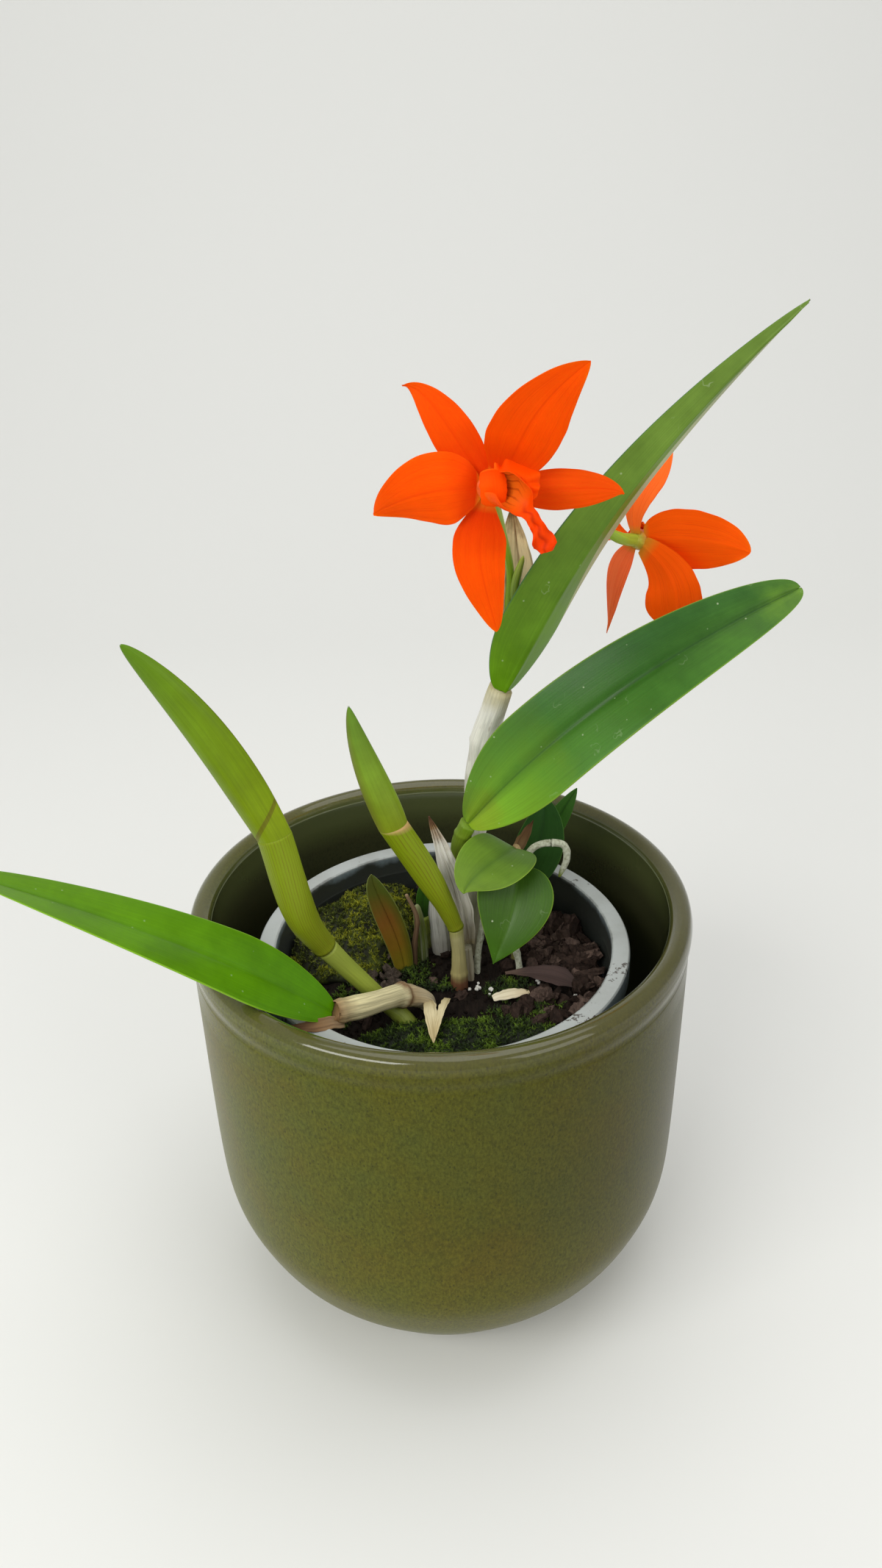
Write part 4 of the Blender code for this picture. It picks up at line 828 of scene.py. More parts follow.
# The green sheaths. A fleshy sheath wraps each of the two growths at the left and opens into its folded
# leaf; its fine veins run straight up it, and its cut-off upper edge has dried.
def sheath_skin(name, low, high, vein, length, girth, edge=None):
    """A green sheath: fine reddish veins along it, and a dry edge where its top slants down on the left."""
    material, tree, shader = new_material(name,
        {"Roughness": 0.45, "Specular IOR Level": 0.25, "Subsurface Weight": 0.08,
            "Subsurface Radius": (0.6, 1.0, 0.2), "Subsurface Scale": 0.001})
    spot = spot_of(tree)
    axes = split(tree, spot)
    drift = noise(tree, grain_of(tree), GRAIN / 8)
    way = stray(tree, axes["Z"], drift, 0.5)
    green = paint(tree, way, low, high)
    angle = calc(tree, "ARCTAN2", axes["Y"], axes["X"])
    comb = calc(tree, "MULTIPLY", angle, round(girth * TURN / 0.7))
    shake = calc(tree, "MULTIPLY_ADD", drift, 3.0, comb)
    line = calc(tree, "SINE", shake)
    veins = fade(tree, line, 0.45, 1.0, 0.0, 0.6)
    place = stretch(tree, spot, (girth * 2, girth * 2, length / 7))
    broken = noise(tree, place, 1.0)
    some = fade(tree, broken, 0.35, 0.6, 0.25)
    shown = calc(tree, "MULTIPLY", veins, some)
    skin = paint(tree, shown, green, vein)
    if edge:
        slope = calc(tree, "MULTIPLY_ADD", axes["X"], -0.03, axes["Z"])
        dry = fade(tree, slope, 0.965, 1.0, 0.0, 0.9)
        skin = paint(tree, dry, skin, edge)
    wear(tree, shader, skin, line, 0.15, 0.0002)
    return material


# The leaves. Thick, leathery blades with a groove along the midrib, a keel under it and a thin pale margin.
# Each one grows from the top of its cane. The tall one on the right turns its underside to the front.
def bezier(path, t):
    a, b, c, d = np.asarray(path, float)
    s = 1 - t
    return s ** 3 * a + 3 * s * s * t * b + 3 * s * t * t * c + t ** 3 * d


def bezier_slope(path, t):
    a, b, c, d = np.asarray(path, float)
    s = 1 - t
    return unit(s * s * (b - a) + 2 * s * t * (c - b) + t * t * (d - c))


def half_widths(spec, t):
    """Half the blade's width along it, which rises to its peak and then falls to the tip."""
    if "profile" in spec:
        return np.interp(t, *zip(*spec["profile"]))
    up = np.sin(np.pi / 2 * np.clip(t / spec["peak"], 0, 1)) ** spec["rise"]
    past = np.clip((t - spec["peak"]) / (1 - spec["peak"]), 0, 1)
    down = np.clip(np.cos(np.pi / 2 * past), 0, 1) ** spec["fall"]
    width = np.where(t < spec["peak"], spec["base"] + (spec["half"] - spec["base"]) * up, spec["half"] * down)
    return np.maximum(width, spec.get("tip", 0.25))


def grow_blade(name, spec, around=64, rings=90, groove=0.0, keel=0.0, ripple=0.0, crinkle=0.0, ragged=0.0,
        seed=1, relief=None, nick=0.0, end_only=False):
    """A leaf, petal or dry scale. groove, keel, ripple and crinkle are depths in mm; ragged is a share of the
    width by which its margin wanders, and nick the depth of a notch at its tip. With end_only it gives the
    outline of its foot instead."""
    t = (1 - np.cos(np.linspace(0, np.pi, rings + 1))) / 2
    column = t[:, None]
    along = bezier_slope(spec["path"], column)
    face = np.asarray(spec["face"], float)
    up = unit(face - (along @ face)[:, None] * along)
    side = np.cross(up, along)
    turn = np.radians(np.interp(t, (0, 1), spec.get("turn", (0, 0))))[:, None]
    side, up = side * np.cos(turn) + up * np.sin(turn), up * np.cos(turn) - side * np.sin(turn)
    curl = spec.get("curl", (0, 0))
    pairs = curl if np.ndim(curl) == 2 else ((0, curl[0]), (1, curl[1]))
    bend = np.radians(np.interp(t, *zip(*pairs)))[:, None] + 1e-6
    width, fold = half_widths(spec, t)[:, None], math.radians(spec.get("fold", 0))

    def middle(x):
        wide = width * (1 + ragged * waves(seed, column * 7 + 3 * np.sign(x), count=14)
            * np.clip(column * 6, 0, 1))
        across = wide / bend * np.sin(x * bend)
        crease = (np.sqrt(across ** 2 + (0.12 * width) ** 2) - 0.12 * width) * math.sin(fold)
        lift = wide / bend * (1 - np.cos(x * bend)) + crease
        lift = lift + ripple * np.abs(x) ** 2 * waves(seed + 1, column * 1.5 + 0.3 * np.sign(x), 0.2 * x)
        edge = np.clip((column - 0.06) * 5, 0, 1)
        lift = lift + crinkle * edge * np.abs(x) ** 2 * waves(seed + 2, column * 5 + np.sign(x), x * 0.5,
            count=12)
        if relief:
            lift = lift + relief(x, column)
        back = -nick * np.exp(-(x / 0.35) ** 2) * np.clip((column - 0.9) * 10, 0, 1)
        centre = bezier(spec["path"], column)[:, None]
        return (centre + side[:, None] * (across * math.cos(fold))[..., None] + up[:, None] * lift[..., None]
            + along[:, None] * back[..., None])

    def place(u, v):
        x, half = -np.cos(2 * np.pi * u) + 0 * column, np.sin(2 * np.pi * u)
        step = 1e-3
        sheet = middle(x)
        normal = unit(np.cross(np.gradient(sheet, t, axis=0) + 1e-9, middle(x + step) - middle(x - step)))
        thick = spec["thick"] * (1 - 0.45 * x * x) * np.clip(width / spec.get("half", 4), 0.25, 1)
        lens = np.sign(half) * np.abs(half) ** 0.6 * thick / 2
        lens = lens - groove * np.exp(-(x / 0.07) ** 2) * (half > 0)
        lens = lens - keel * np.exp(-(x / 0.09) ** 2) * (half < 0)
        lens = lens * np.clip((1 - column) * 30, 0.3, 1) ** 0.5
        return sheet + normal * lens[..., None]
    if end_only:
        return place(np.linspace(0, 1, around + 1)[None], None)[0]

    def spot(u, v):
        return -np.cos(2 * np.pi * u), t[:, None] + 0 * u, np.sin(2 * np.pi * u)
    return roll_up(name, place, spot, around, rings)


def leaf_skin(name, stops, under, margin, half, length, rib=None, roughness=0.4, specks=0.0, streak=0.08,
        blotch=0.14, marks=0.0, left=None, far=None, wrap=None):
    """A leathery leaf: colours from foot to tip, faint parallel veins, a darker midrib and a thin margin, and
    the fine pale specks and dried marks that a grown leaf has. left tints one side, far is the underside
    towards the tip, and wrap is a sheath that still lies round its foot."""
    material, tree, shader = new_material(name,
        {"Specular IOR Level": 0.16, "Coat Weight": 0.04, "Coat Roughness": 0.25, "Subsurface Weight": 0.05,
            "Subsurface Radius": (0.5, 1.0, 0.2), "Subsurface Scale": 0.0015})
    spot = spot_of(tree)
    grain = grain_of(tree)
    axes = split(tree, spot)
    off = calc(tree, "ABSOLUTE", axes["X"])
    drift = noise(tree, grain, GRAIN / 15, 4.0, 0.6)
    way = stray(tree, axes["Y"], drift, 0.3)
    top = ramp(tree, way, stops)
    below = fade(tree, axes["Z"], -0.05, -0.25)
    back = paint(tree, way, under, far or under)
    if rib:
        thin = fade(tree, off, 0.012, 0.05, 0.6, 0.0)
        broad = fade(tree, off, 0.03, 0.3, 0.38, 0.0)
        spine = calc(tree, "MAXIMUM", thin, broad)
        top = paint(tree, spine, top, rib)
    both = paint(tree, below, top, back)
    if left:
        taper = fade(tree, axes["Y"], 0.08, 0.5, left[4], 0.0)
        across = calc(tree, "SUBTRACT", axes["X"], taper)
        lee = fade(tree, across, left[1], left[2], left[3], 0.0)
        both = paint(tree, lee, both, left[0])
    if wrap:
        slope = calc(tree, "MULTIPLY_ADD", axes["X"], wrap[2] / 2, axes["Y"])
        held = fade(tree, slope, wrap[2] / 2 - 0.004, wrap[2] / 2, 1.0, 0.0)
        both = paint(tree, held, both, wrap[0])
        step = calc(tree, "COMPARE", slope, wrap[2] / 2, 0.01)
        line = calc(tree, "MULTIPLY", step, 0.6)
        both = paint(tree, line, both, wrap[1])
    stretched = stretch(tree, spot, (half / 0.5, length / 30, 1.0))
    veins = noise(tree, stretched, 1.0, 3.0, 0.6)
    lined = fade(tree, veins, 0.3, 0.7, 1 - streak, 1 + streak)
    shaded = fade(tree, drift, 0.35, 0.65, 1 - blotch, 1 + blotch)
    tone = calc(tree, "MULTIPLY", lined, shaded)
    live = tone_by(tree, both, tone)
    rim = fade(tree, off, 0.965, 0.99, 0.0, 0.7)
    edged = paint(tree, rim, live, margin)
    cells = add_node(tree, "TexVoronoi", {"Vector": grain, "Scale": GRAIN / 3.4}).outputs
    dots = fade(tree, cells["Distance"], 0.05, 0.11, specks, 0.0)
    chance = add_node(tree, "SeparateColor", {0: cells["Color"]}).outputs["Green"]
    chosen = fade(tree, chance, 0.7, 0.72)
    dusted = calc(tree, "MULTIPLY", dots, chosen)
    warp = add_node(tree, "TexNoise", {"Vector": grain, "Scale": GRAIN / 4, "Detail": 2.0}).outputs
    bent = add_node(tree, "VectorMath", {0: warp["Color"], 1: (0.007, 0.007, 0.007), 2: grain},
        operation="MULTIPLY_ADD").outputs[0]
    drops = add_node(tree, "TexVoronoi", {"Vector": bent, "Scale": GRAIN / 11}).outputs["Distance"]
    ring = calc(tree, "COMPARE", drops, 0.16, 0.016)
    arc = fade(tree, warp["Fac"], 0.48, 0.6, 0.0, marks)
    dried = calc(tree, "MULTIPLY", ring, arc)
    pale = calc(tree, "MAXIMUM", dusted, dried)
    skin = paint(tree, pale, edged, "#C8D6B0")
    gloss = fade(tree, drift, 0.3, 0.7, roughness - 0.06, roughness + 0.1)
    tree.links.new(gloss, shader.inputs["Roughness"])
    pores = noise(tree, grain, GRAIN / 0.9)
    height = calc(tree, "MULTIPLY_ADD", pores, 0.4, veins)
    wear(tree, shader, skin, height, 0.18)
    return material


SMOOTH_LEAF = dict(around=72, ripple=0.12, nick=0.5)
for node, below, joint, path, radii, leaf, edge in (
        ("sheath_c", (5.6, -7.2, 132), (4.9, -7.8, 142), ((1.2, -8.2, 152), (-4.4, -9, 164)),
            (2.5, 3.2, 4.2, 5.0), LEAF_C, "#C09A64"),
        ("sheath_d", (-27.4, -23.4, 137.4), (-34.6, -26, 149), ((-40.2, -28, 160.6), (-43.6, -29.4, 175)),
            (3.4, 4.8, 5.6, 6.0), LEAF_D, None)):
    start = unit(np.subtract(path[0], below))
    line, along, side = up_to_leaf((tuple(np.asarray(joint) + start * GAP), *path), leaf, gap=-0.1)
    leaf_foot = grow_blade("foot", leaf, end_only=True, **SMOOTH_LEAF) - np.asarray(leaf["path"][0])
    sheath = grow_tube(node + "_wrapped", line, radii, ends=(start, along), flat=0.42, side=side, ribs=0.04,
        uneven=0.03, around=72, per=16, seed=len(node), rings=((0.0, 0.25, 1.2),),
        onto=leaf_foot[(36 - np.arange(73)) % 72])
    dress(sheath, sheath_skin(node + "_skin", "#7E8A18", "#80940A", "#6A4E14", 44, radii[1], edge),
        "green_cane", node)

for node, spec, slot, shape, look in (
        ("leaf_a", LEAF_A, "leaf_underside", dict(keel=0.7, groove=0.4, ripple=0.35, nick=0.8, seed=31),
            dict(stops=((0, "#6F8A28"), (0.4, "#3F6B45"), (1, "#3F6B45")), under="#5A8800", far="#6C8838",
                margin="#3F6A40", half=12.2, length=140, roughness=0.42, marks=0.2, specks=0.4, streak=0.1,
                # Painted sheen: a pale grey strip on the outer part of the half beyond the keel, strongest
                # towards the tip.
                left=("#B4B690", 0.5, 0.46, 0.85, 0.7))),
        ("leaf_b", LEAF_B, "leaf_blue_green", dict(keel=0.6, groove=0.9, ripple=0.5, nick=0.8, seed=32),
            dict(stops=((0.0, "#90AC28"), (0.14, "#74A226"), (0.36, "#44761E"), (0.6, "#356418"),
                    (0.88, "#3E6A1C"), (1, "#5C8220")), under="#5B8A34", rib="#1E4418", margin="#7E9E30",
                half=15, length=130, specks=0.5, marks=0.1, roughness=0.36,
                # Painted shade: one half of the folded blade is painted darker green.
                left=("#285628", 0.7, -0.1, 0.5, 0.0))),
        ("leaf_c", LEAF_C, "leaf_mid_green", dict(seed=33, **SMOOTH_LEAF),
            dict(stops=((0, "#86961E"), (0.3, "#809A28"), (1, "#668E2A")), under="#809A28", far="#668E2A",
                margin="#6E6A34", half=5, length=44, left=("#6E6024", 0.98, 0.3, 0.6, 0.0))),
        ("leaf_d", LEAF_D, "leaf_olive_green", dict(seed=34, **SMOOTH_LEAF),
            dict(stops=((0, "#788A06"), (0.3, "#6E8804"), (1, "#567A12")), under="#6E8804", far="#567A12",
                margin="#7A6A44", half=6.9, length=75, streak=0.12, wrap=("#7E920A", "#5E4A14", 0.13))),
        ("leaf_e", LEAF_E, "leaf_bright_green", dict(keel=0.6, groove=0.35, ripple=0.35, nick=0.7, seed=35),
            dict(stops=((0, "#4F8600"), (0.4, "#528402"), (1, "#5C8A00")), under="#6AA030", rib="#48780A",
                margin="#8AB82A", half=11.4, length=120, roughness=0.34, specks=0.25)),
        ("leaf_f1", LEAF_F1, "leaf_yellow_green", dict(keel=0.3, groove=0.25, ripple=0.5, seed=36, rings=60),
            dict(stops=((0, "#4E7220"), (0.5, "#5E7E22"), (1, "#6C8A24")), under="#6E9430", rib="#3E5E1C",
                margin="#8AA83A", half=11, length=30, specks=0.35)),
        ("leaf_f2", LEAF_F2, "leaf_plain_green", dict(keel=0.3, groove=0.3, ripple=0.5, seed=37, rings=60),
            dict(stops=((0, "#385C16"), (0.5, "#42661A"), (1, "#46701C")), under="#6E9430", rib="#4E7424",
                margin="#7EA02E", half=12.4, length=34, roughness=0.34, specks=0.9, marks=0.1)),
        ("leaf_g1", LEAF_G1, "leaf_dark_green", dict(keel=0.2, groove=0.2, ripple=0.3, seed=38, rings=50),
            dict(stops=((0, "#2C4E1C"), (1, "#28521C")), under="#4E7A34", rib="#20401A", margin="#527A30",
                half=7.6, length=34)),
        ("leaf_g2", LEAF_G2, "leaf_dark_green", dict(keel=0.2, groove=0.2, ripple=0.2, seed=39, rings=50),
            dict(stops=((0, "#38601E"), (1, "#3A6820")), under="#4E7A34", rib="#23481C", margin="#527A30",
                half=4, length=34)),
        ("leaf_h", LEAF_H, "leaf_dark_green", dict(groove=0.15, ripple=0.15, seed=40, rings=40, around=40),
            dict(stops=((0, "#34581C"), (1, "#34601C")), under="#4E7A34", rib="#2A4E1C", margin="#527A30",
                half=2.6, length=18))):
    leaf = grow_blade(node + "_blade", spec, **shape)
    dress(leaf, leaf_skin(node + "_skin", **look), slot, node)


# The young shoot. A flattened, still folded growth beside the canes, olive above and orange-brown at its
# foot, where the light has reddened it.
shoot = grow_blade("young_shoot_folded", dict(path=((-12.4, 3.4, STEM_END), (-12.4, 2.4, 134),
            (-22, 1.4, 150), (-21.5, 2, 156.6)), face=(0.2, -0.9, 0.2), half=4.6, base=2.2, peak=0.46,
        rise=0.7, fall=0.62, fold=22, thick=3.0), rings=60, groove=0.35, ripple=0.15, seed=41)
dress(shoot, leaf_skin("reddened_young_shoot",
        ((0.0, "#8A8A24"), (0.24, "#8A6A20"), (0.5, "#7E5420"), (0.74, "#565A1C"), (1.0, "#4A521A")),
        "#7A7A30", "#8A9450", 4.6, 46, roughness=0.45, left=("#4E5E1A", -1.0, -0.35, 0.8, 0.0)),
    "shoot_brown_green", "young_shoot")


# The dry pieces. Old sheaths, the bulbs under them, a twig, the spathe of the flower stalk and two bracts:
# all thin, fibrous and brittle, still held where they grew.
def dry_skin(name, stops, streak, girth, length, fibre=0.6, contrast=0.5, round_piece=False):
    """Dried plant skin: long fibres, bleached between them and brown along them."""
    material, tree, shader = new_material(name, {"Roughness": 0.75, "Specular IOR Level": 0.25})
    spot = spot_of(tree)
    way = split(tree, spot)["Z" if round_piece else "Y"]
    drift = noise(tree, grain_of(tree), GRAIN / 5, 3.0)
    moved = stray(tree, way, drift, 0.3)
    base = ramp(tree, moved, stops)
    across, along = girth / fibre, length / 22
    scale = (across, across, along) if round_piece else (across, along, 0.3)
    fibres = noise(tree, stretch(tree, spot, scale), 1.0, 4.0, 0.65)
    dark = fade(tree, fibres, 0.5, 0.68, 0.0, contrast)
    lined = paint(tree, dark, base, streak)
    wear(tree, shader, lined, fibres, 0.5, 0.0004)
    return material


for node, form, slot, grow, shape, skin, stops, streak, look in (
        ("dry_sheath_foot", "round", "dry_sheath", grow_tube,
            dict(path=((9.2, -2.6, STEM_END), (9.0, -2.8, 121), (8.6, -2.4, 130.4)),
                radii=(1.5, 1.8, 1.8, 1.5), ribs=0.1, uneven=0.1, seed=42), "dry_sheath_foot_skin",
            ((0, "#6A5842"), (0.5, "#B4AC94"), (1, "#B9B49C")), "#7A664A",
            dict(girth=1.7, length=18, contrast=0.6)),
        ("dry_sheath", "curled", "dry_sheath", grow_blade,
            dict(spec=dict(path=((8.2, -1.4, 131), (6.6, -1.0, 148), (2.6, -0.8, 162), (-2.6, -0.6, 179)),
                    face=(0.3, -0.95, 0.1), half=4.2, base=2.8, peak=0.4, rise=0.8, fall=0.8, curl=(60, 40),
                    thick=0.7), rings=80, crinkle=0.9, ripple=0.6, ragged=0.1, seed=43,
                relief=lambda x, t: 0.28 * np.sin(x * 12 + 4 * t + np.sin(9 * t))), "bleached_sheath_skin",
            ((0, "#A09478"), (0.2, "#DAD6C8"), (0.75, "#E6E3D8"), (0.92, "#9A7A54"), (1, "#6A4630")),
            "#6A5A42", dict(girth=4.2, length=50, contrast=0.75)),
        ("papery_bulb", "round", "papery_bulb", grow_tube,
            dict(path=((0.4, 12, STEM_END), (-0.2, 12, 124), (-1.0, 11.6, 134), (-1.6, 11, 143)),
                radii=(2.6, 3.1, 2.9, 1.5), ribs=0.2, uneven=0.08, shrink=0.5, seed=44, around=40),
            "bluish_papery_skin", ((0, "#7E7668"), (0.5, "#C6C6C0"), (1, "#D0D0CA")), "#5E5648",
            dict(girth=3, length=30, contrast=0.8)),
        ("mossy_bulb", "round", "mossy_bulb", grow_tube,
            dict(path=((-6.2, 9.2, STEM_END), (-6.6, 9.4, 124), (-7.2, 9.6, 134), (-7.6, 9.8, 139)),
                radii=(2.0, 2.2, 1.8, 0.9), ribs=0.15, uneven=0.12, shrink=0.4, seed=45), "algae_green_skin",
            ((0, "#4A5424"), (0.5, "#76863A"), (1, "#9AA070")), "#B8BCA8",
            dict(girth=2, length=26, contrast=0.5)),
        ("twig", "round", "twig", grow_tube, dict(path=((-8.5, 4.2, STEM_END), (-8.8, 4.4, 126),
                    (-7.6, 4.8, 137), (-10.8, 5, 146.5)), radii=(0.9, 0.85, 0.8, 0.5), ribs=0.1, uneven=0.14,
                rings=((0.35, 0.25, 0.5), (0.62, 0.3, 0.5)), seed=46, around=20), "twig_bark",
            ((0, "#4A3828"), (0.6, "#7A6048"), (1, "#A08468")), "#3A2A1E",
            dict(girth=0.9, length=35, fibre=0.4, contrast=0.6)),
        ("spathe", "open", "spathe", grow_blade,
            dict(spec=dict(path=((23.6, 25, 219.5), (22.6, 26.4, 234), (23.2, 26.8, 250),
                        (24.2, 26.5, 266.6)), face=(0.35, -0.9, 0.1), half=9.2, base=3.4, peak=0.5, rise=0.9,
                    fall=0.75, curl=(62, 78), thick=0.7), rings=90, around=96, crinkle=0.3, ragged=0.05,
                seed=47, relief=lambda x, t: 0.12 * np.sin(x * 22 + 2 * t)), "dry_spathe_skin",
            # Pale cream, painted up to near white as painted light shining through the spathe; brown at its
            # dry tip.
            ((0, "#E8DCB0"), (0.3, "#FFF4D4"), (0.85, "#FFEABC"), (0.96, "#A07E50"), (1, "#5A4028")),
            "#7E5A30", dict(girth=8.4, length=48, fibre=1.2, contrast=0.95))):
    piece = grow(f"{node}_{form}", **shape)
    dress(piece, dry_skin(skin, stops, streak, round_piece=grow is grow_tube, **look), slot, node)
bract_skin = dry_skin("brown_bract_skin", ((0, "#A08868"), (0.5, "#8A6A48"), (1, "#6A4830")), "#4E3626", 2,
    11, contrast=0.6)
for node, path, face, half, base, fold, crinkle, ragged, seed in (
        ("bract_e", ((-29.6, -40.4, 132.2), (-32.6, -45, 136.6), (-39, -49, 137), (-46.4, -48.6, 137.8)),
            (0, -0.7, 0.7), 2.0, 1.7, 16, 0.5, 0.12, 48),
        ("bract_f", ((24.2, 18.6, 148.5), (26, 20, 154), (29.4, 20.4, 160), (31.4, 19, 165)),
            (0.2, -0.9, 0.3), 2.2, 1.2, 18, 0.6, 0.14, 49)):
    bract = grow_blade(node + "_dry", dict(path=path, face=face, half=half, base=base, peak=0.4, rise=0.8,
            fall=0.8, fold=fold, thick=0.7), rings=40, around=40, crinkle=crinkle, ragged=ragged, seed=seed)
    dress(bract, bract_skin, "bract", node)


# The roots. Corky white velamen over a thin core, matt and slightly knobbly, green at a growing tip. One
# arches out of the side growth, two go down into the mix.
def root_skin(name, tip):
    material, tree, shader = new_material(name, {"Roughness": 0.8, "IOR": 1.4})
    grain = grain_of(tree)
    way = split(tree, spot_of(tree))["Z"]
    cork = noise(tree, grain, GRAIN / 1.1, 4.0, 0.65)
    base = ramp(tree, cork, ((0.35, "#98997E"), (0.55, "#C8CBB5"), (0.75, "#DADCCB")))
    end = fade(tree, way, 0.9, 0.98)
    skin = paint(tree, end, base, tip)
    wear(tree, shader, skin, cork, 0.6, 0.0004)
    return material


for seed, (node, path, radii, tip) in enumerate((
            ("root_arch", ((28.9, 12.6, 155.6), (31.4, 12.4, 158.8), (35.6, 12, 160.4), (40.8, 12, 159.4),
                    (41.9, 12, 154), (39.7, 12, 147.2)), (1.1, 1.15, 1.15, 1.15, 1.15, 0.8), "#8A9A3A"),
            ("root_side", ((23.4, 2.4, 132.5), (24.6, 1.4, 127), (25.8, -0.6, 120), (26.2, -1.4, STEM_END)),
                (0.8, 1.1, 1.1, 1.0), "#C8CBB5"),
            ("root_back", ((14.6, 3.0, 142), (13.6, 1.6, 134), (12.2, 0.4, 125), (11.6, -0.4, STEM_END)),
                (0.8, 1.1, 1.1, 1.0), "#C8CBB5"))):
    root = grow_tube(node + "_corky", path, radii, ribs=0.05, uneven=0.14, around=24, shrink=0.5,
        seed=60 + seed, rings=((0.45, 0.18, 0.7), (0.7, 0.15, 0.6)))
    dress(root, root_skin(node + "_velamen", tip), "root", node)


# The blooms. Two flowers on slim green stalks from behind the tall leaf: three sepals and two broader
# petals round the stalk's end, then the frilled lip, rolled at its base round the column.
TEPAL_THICK, TEPAL_SEAT, SEPAL_BASE, PETAL_BASE = 0.9, 2.25, 1.8, 2.5
PEDUNCLE_SEAT = 4.8
LIP_PROFILE = ((0, 4.4), (0.12, 7.6), (0.3, 9.6), (0.42, 5.4), (0.54, 2.4), (0.7, 1.9), (0.82, 2.4),
    (0.94, 3.4), (1, 1.6))
LIP_CURL = ((0, 112), (0.3, 132), (0.45, 75), (1, 25))
LOBE_PROFILE = ((0, 2.5), (0.06, 3.1), (0.5, 3.5), (0.94, 3.1), (1, 2.4))
FRILL_PROFILE = ((0, 1.2), (0.3, 2.2), (0.7, 2.3), (1, 1.4))


def tepal_relief(x, t):
    return 0.05 * np.sin(x * 20) * np.sin(np.pi * t)


def lip_relief(x, t):
    """Ruffles along a lip's margin, and folds down its middle."""
    ruffles = 1.1 * np.sin(40 * t + 2 * x) * x ** 4 * np.clip((t - 0.55) * 4, 0, 1)
    return ruffles + 0.6 * np.exp(-(x / 0.3) ** 2) * np.sin(t * 33) * np.clip((t - 0.42) * 5, 0, 1)


def frill_relief(x, t):
    return 0.9 * np.sin(24 * t + 3 * np.sin(7 * t)) * np.clip(x + 0.6, 0, 2) / 1.6


def petal_skin(name, front, heart, back, half, length, vein="#E03A00", rear_vein="#D83E08", glow=0.25):
    """Petal tissue: glowing orange with fine veins from base to tip, and a paler, pinker back."""
    material, tree, shader = new_material(name,
        {"Roughness": 0.6, "Specular IOR Level": 0.04, "Subsurface Weight": glow,
            "Subsurface Radius": (1.0, 0.35, 0.1), "Subsurface Scale": 0.002})
    spot = spot_of(tree)
    axes = split(tree, spot)
    off = calc(tree, "ABSOLUTE", axes["X"])
    drift = noise(tree, grain_of(tree), GRAIN / 8, 3.0)
    # Darker red-orange on the inner part: partly the petals' own colour, partly painted shade near the
    # centre.
    base = ramp(tree, axes["Y"], ((0.0, heart), (0.08, vein), (0.45, front), (1.0, front)))
    stretched = stretch(tree, spot, (half / 0.42, length / 26, 0.2))
    veins = noise(tree, stretched, 1.0, 3.0, 0.6)
    thin = fade(tree, veins, 0.52, 0.68, 0.0, 0.35)
    veined = paint(tree, thin, base, vein)
    spine = fade(tree, off, 0.01, 0.06, 0.35, 0.0)
    ribbed = paint(tree, spine, veined, vein)
    shaded = fade(tree, drift, 0.3, 0.7, 0.94, 1.04)
    live = tone_by(tree, ribbed, shaded)
    lined = paint(tree, thin, back, rear_vein)
    collar = fade(tree, axes["Y"], 0.01, 0.09, 0.7, 0.0)
    rear = paint(tree, collar, lined, "#B8922A")
    below = fade(tree, axes["Z"], -0.05, -0.3)
    skin = paint(tree, below, live, rear)
    wear(tree, shader, skin, veins, 0.3)
    return material


def lip_skin(name):
    """The lip: the same orange, deeper red at its frilled end, with dark red lines in its yellow throat."""
    material, tree, shader = new_material(name,
        {"Roughness": 0.5, "Specular IOR Level": 0.06, "Subsurface Weight": 0.05,
            "Subsurface Radius": (1.0, 0.35, 0.1), "Subsurface Scale": 0.001})
    spot = spot_of(tree)
    axes = split(tree, spot)
    base = ramp(tree, axes["Y"], ((0.0, "#F87010"), (0.3, "#F85004"), (0.5, "#F44600"), (0.8, "#EC4200"),
            (1.0, "#E83E00")))
    throat = ramp(tree, axes["Y"], ((0.0, "#D87A1A"), (0.35, "#E86410"), (0.5, "#F04600"), (1.0, "#E83A00")))
    inner = fade(tree, axes["Z"], 0.0, 0.25)
    ground = paint(tree, inner, base, throat)
    comb = calc(tree, "MULTIPLY", axes["X"], 26.0)
    line = calc(tree, "SINE", comb)
    lines = fade(tree, line, 0.5, 1.0, 0.0, 0.6)
    deep = fade(tree, axes["Y"], 0.4, 0.3)
    drawn = calc(tree, "MULTIPLY", lines, deep)
    only = calc(tree, "MULTIPLY", drawn, inner)
    striped = paint(tree, only, ground, "#A03404")
    # Painted shade along the folds down the lip's tongue.
    wave = calc(tree, "SINE", calc(tree, "MULTIPLY", axes["Y"], 40.0))
    sway = calc(tree, "MULTIPLY_ADD", wave, 0.16, axes["X"])
    aside = calc(tree, "ABSOLUTE", sway)
    crease = fade(tree, aside, 0.02, 0.3, 0.75, 0.0)
    tongue = fade(tree, axes["Y"], 0.42, 0.52)
    folded = calc(tree, "MULTIPLY", crease, tongue)
    skin = paint(tree, folded, striped, "#BC2C02")
    grain = noise(tree, grain_of(tree), GRAIN / 1.4)
    wear(tree, shader, skin, grain, 0.35, 0.0004)
    return material


def stalk_skin(name, stops):
    """A living flower stalk: smooth, waxy yellow-green."""
    material, tree, shader = new_material(name, {"Roughness": 0.4, "IOR": 1.42})
    spot = spot_of(tree)
    way = split(tree, spot)["Z"]
    base = ramp(tree, way, stops)
    ribs = noise(tree, stretch(tree, spot, (2.4, 2.4, 1.5)), 1.0)
    lit = fade(tree, ribs, 0.3, 0.7, 0.85, 1.12)
    skin = tone_by(tree, base, lit)
    wear(tree, shader, skin, ribs, 0.2)
    return material


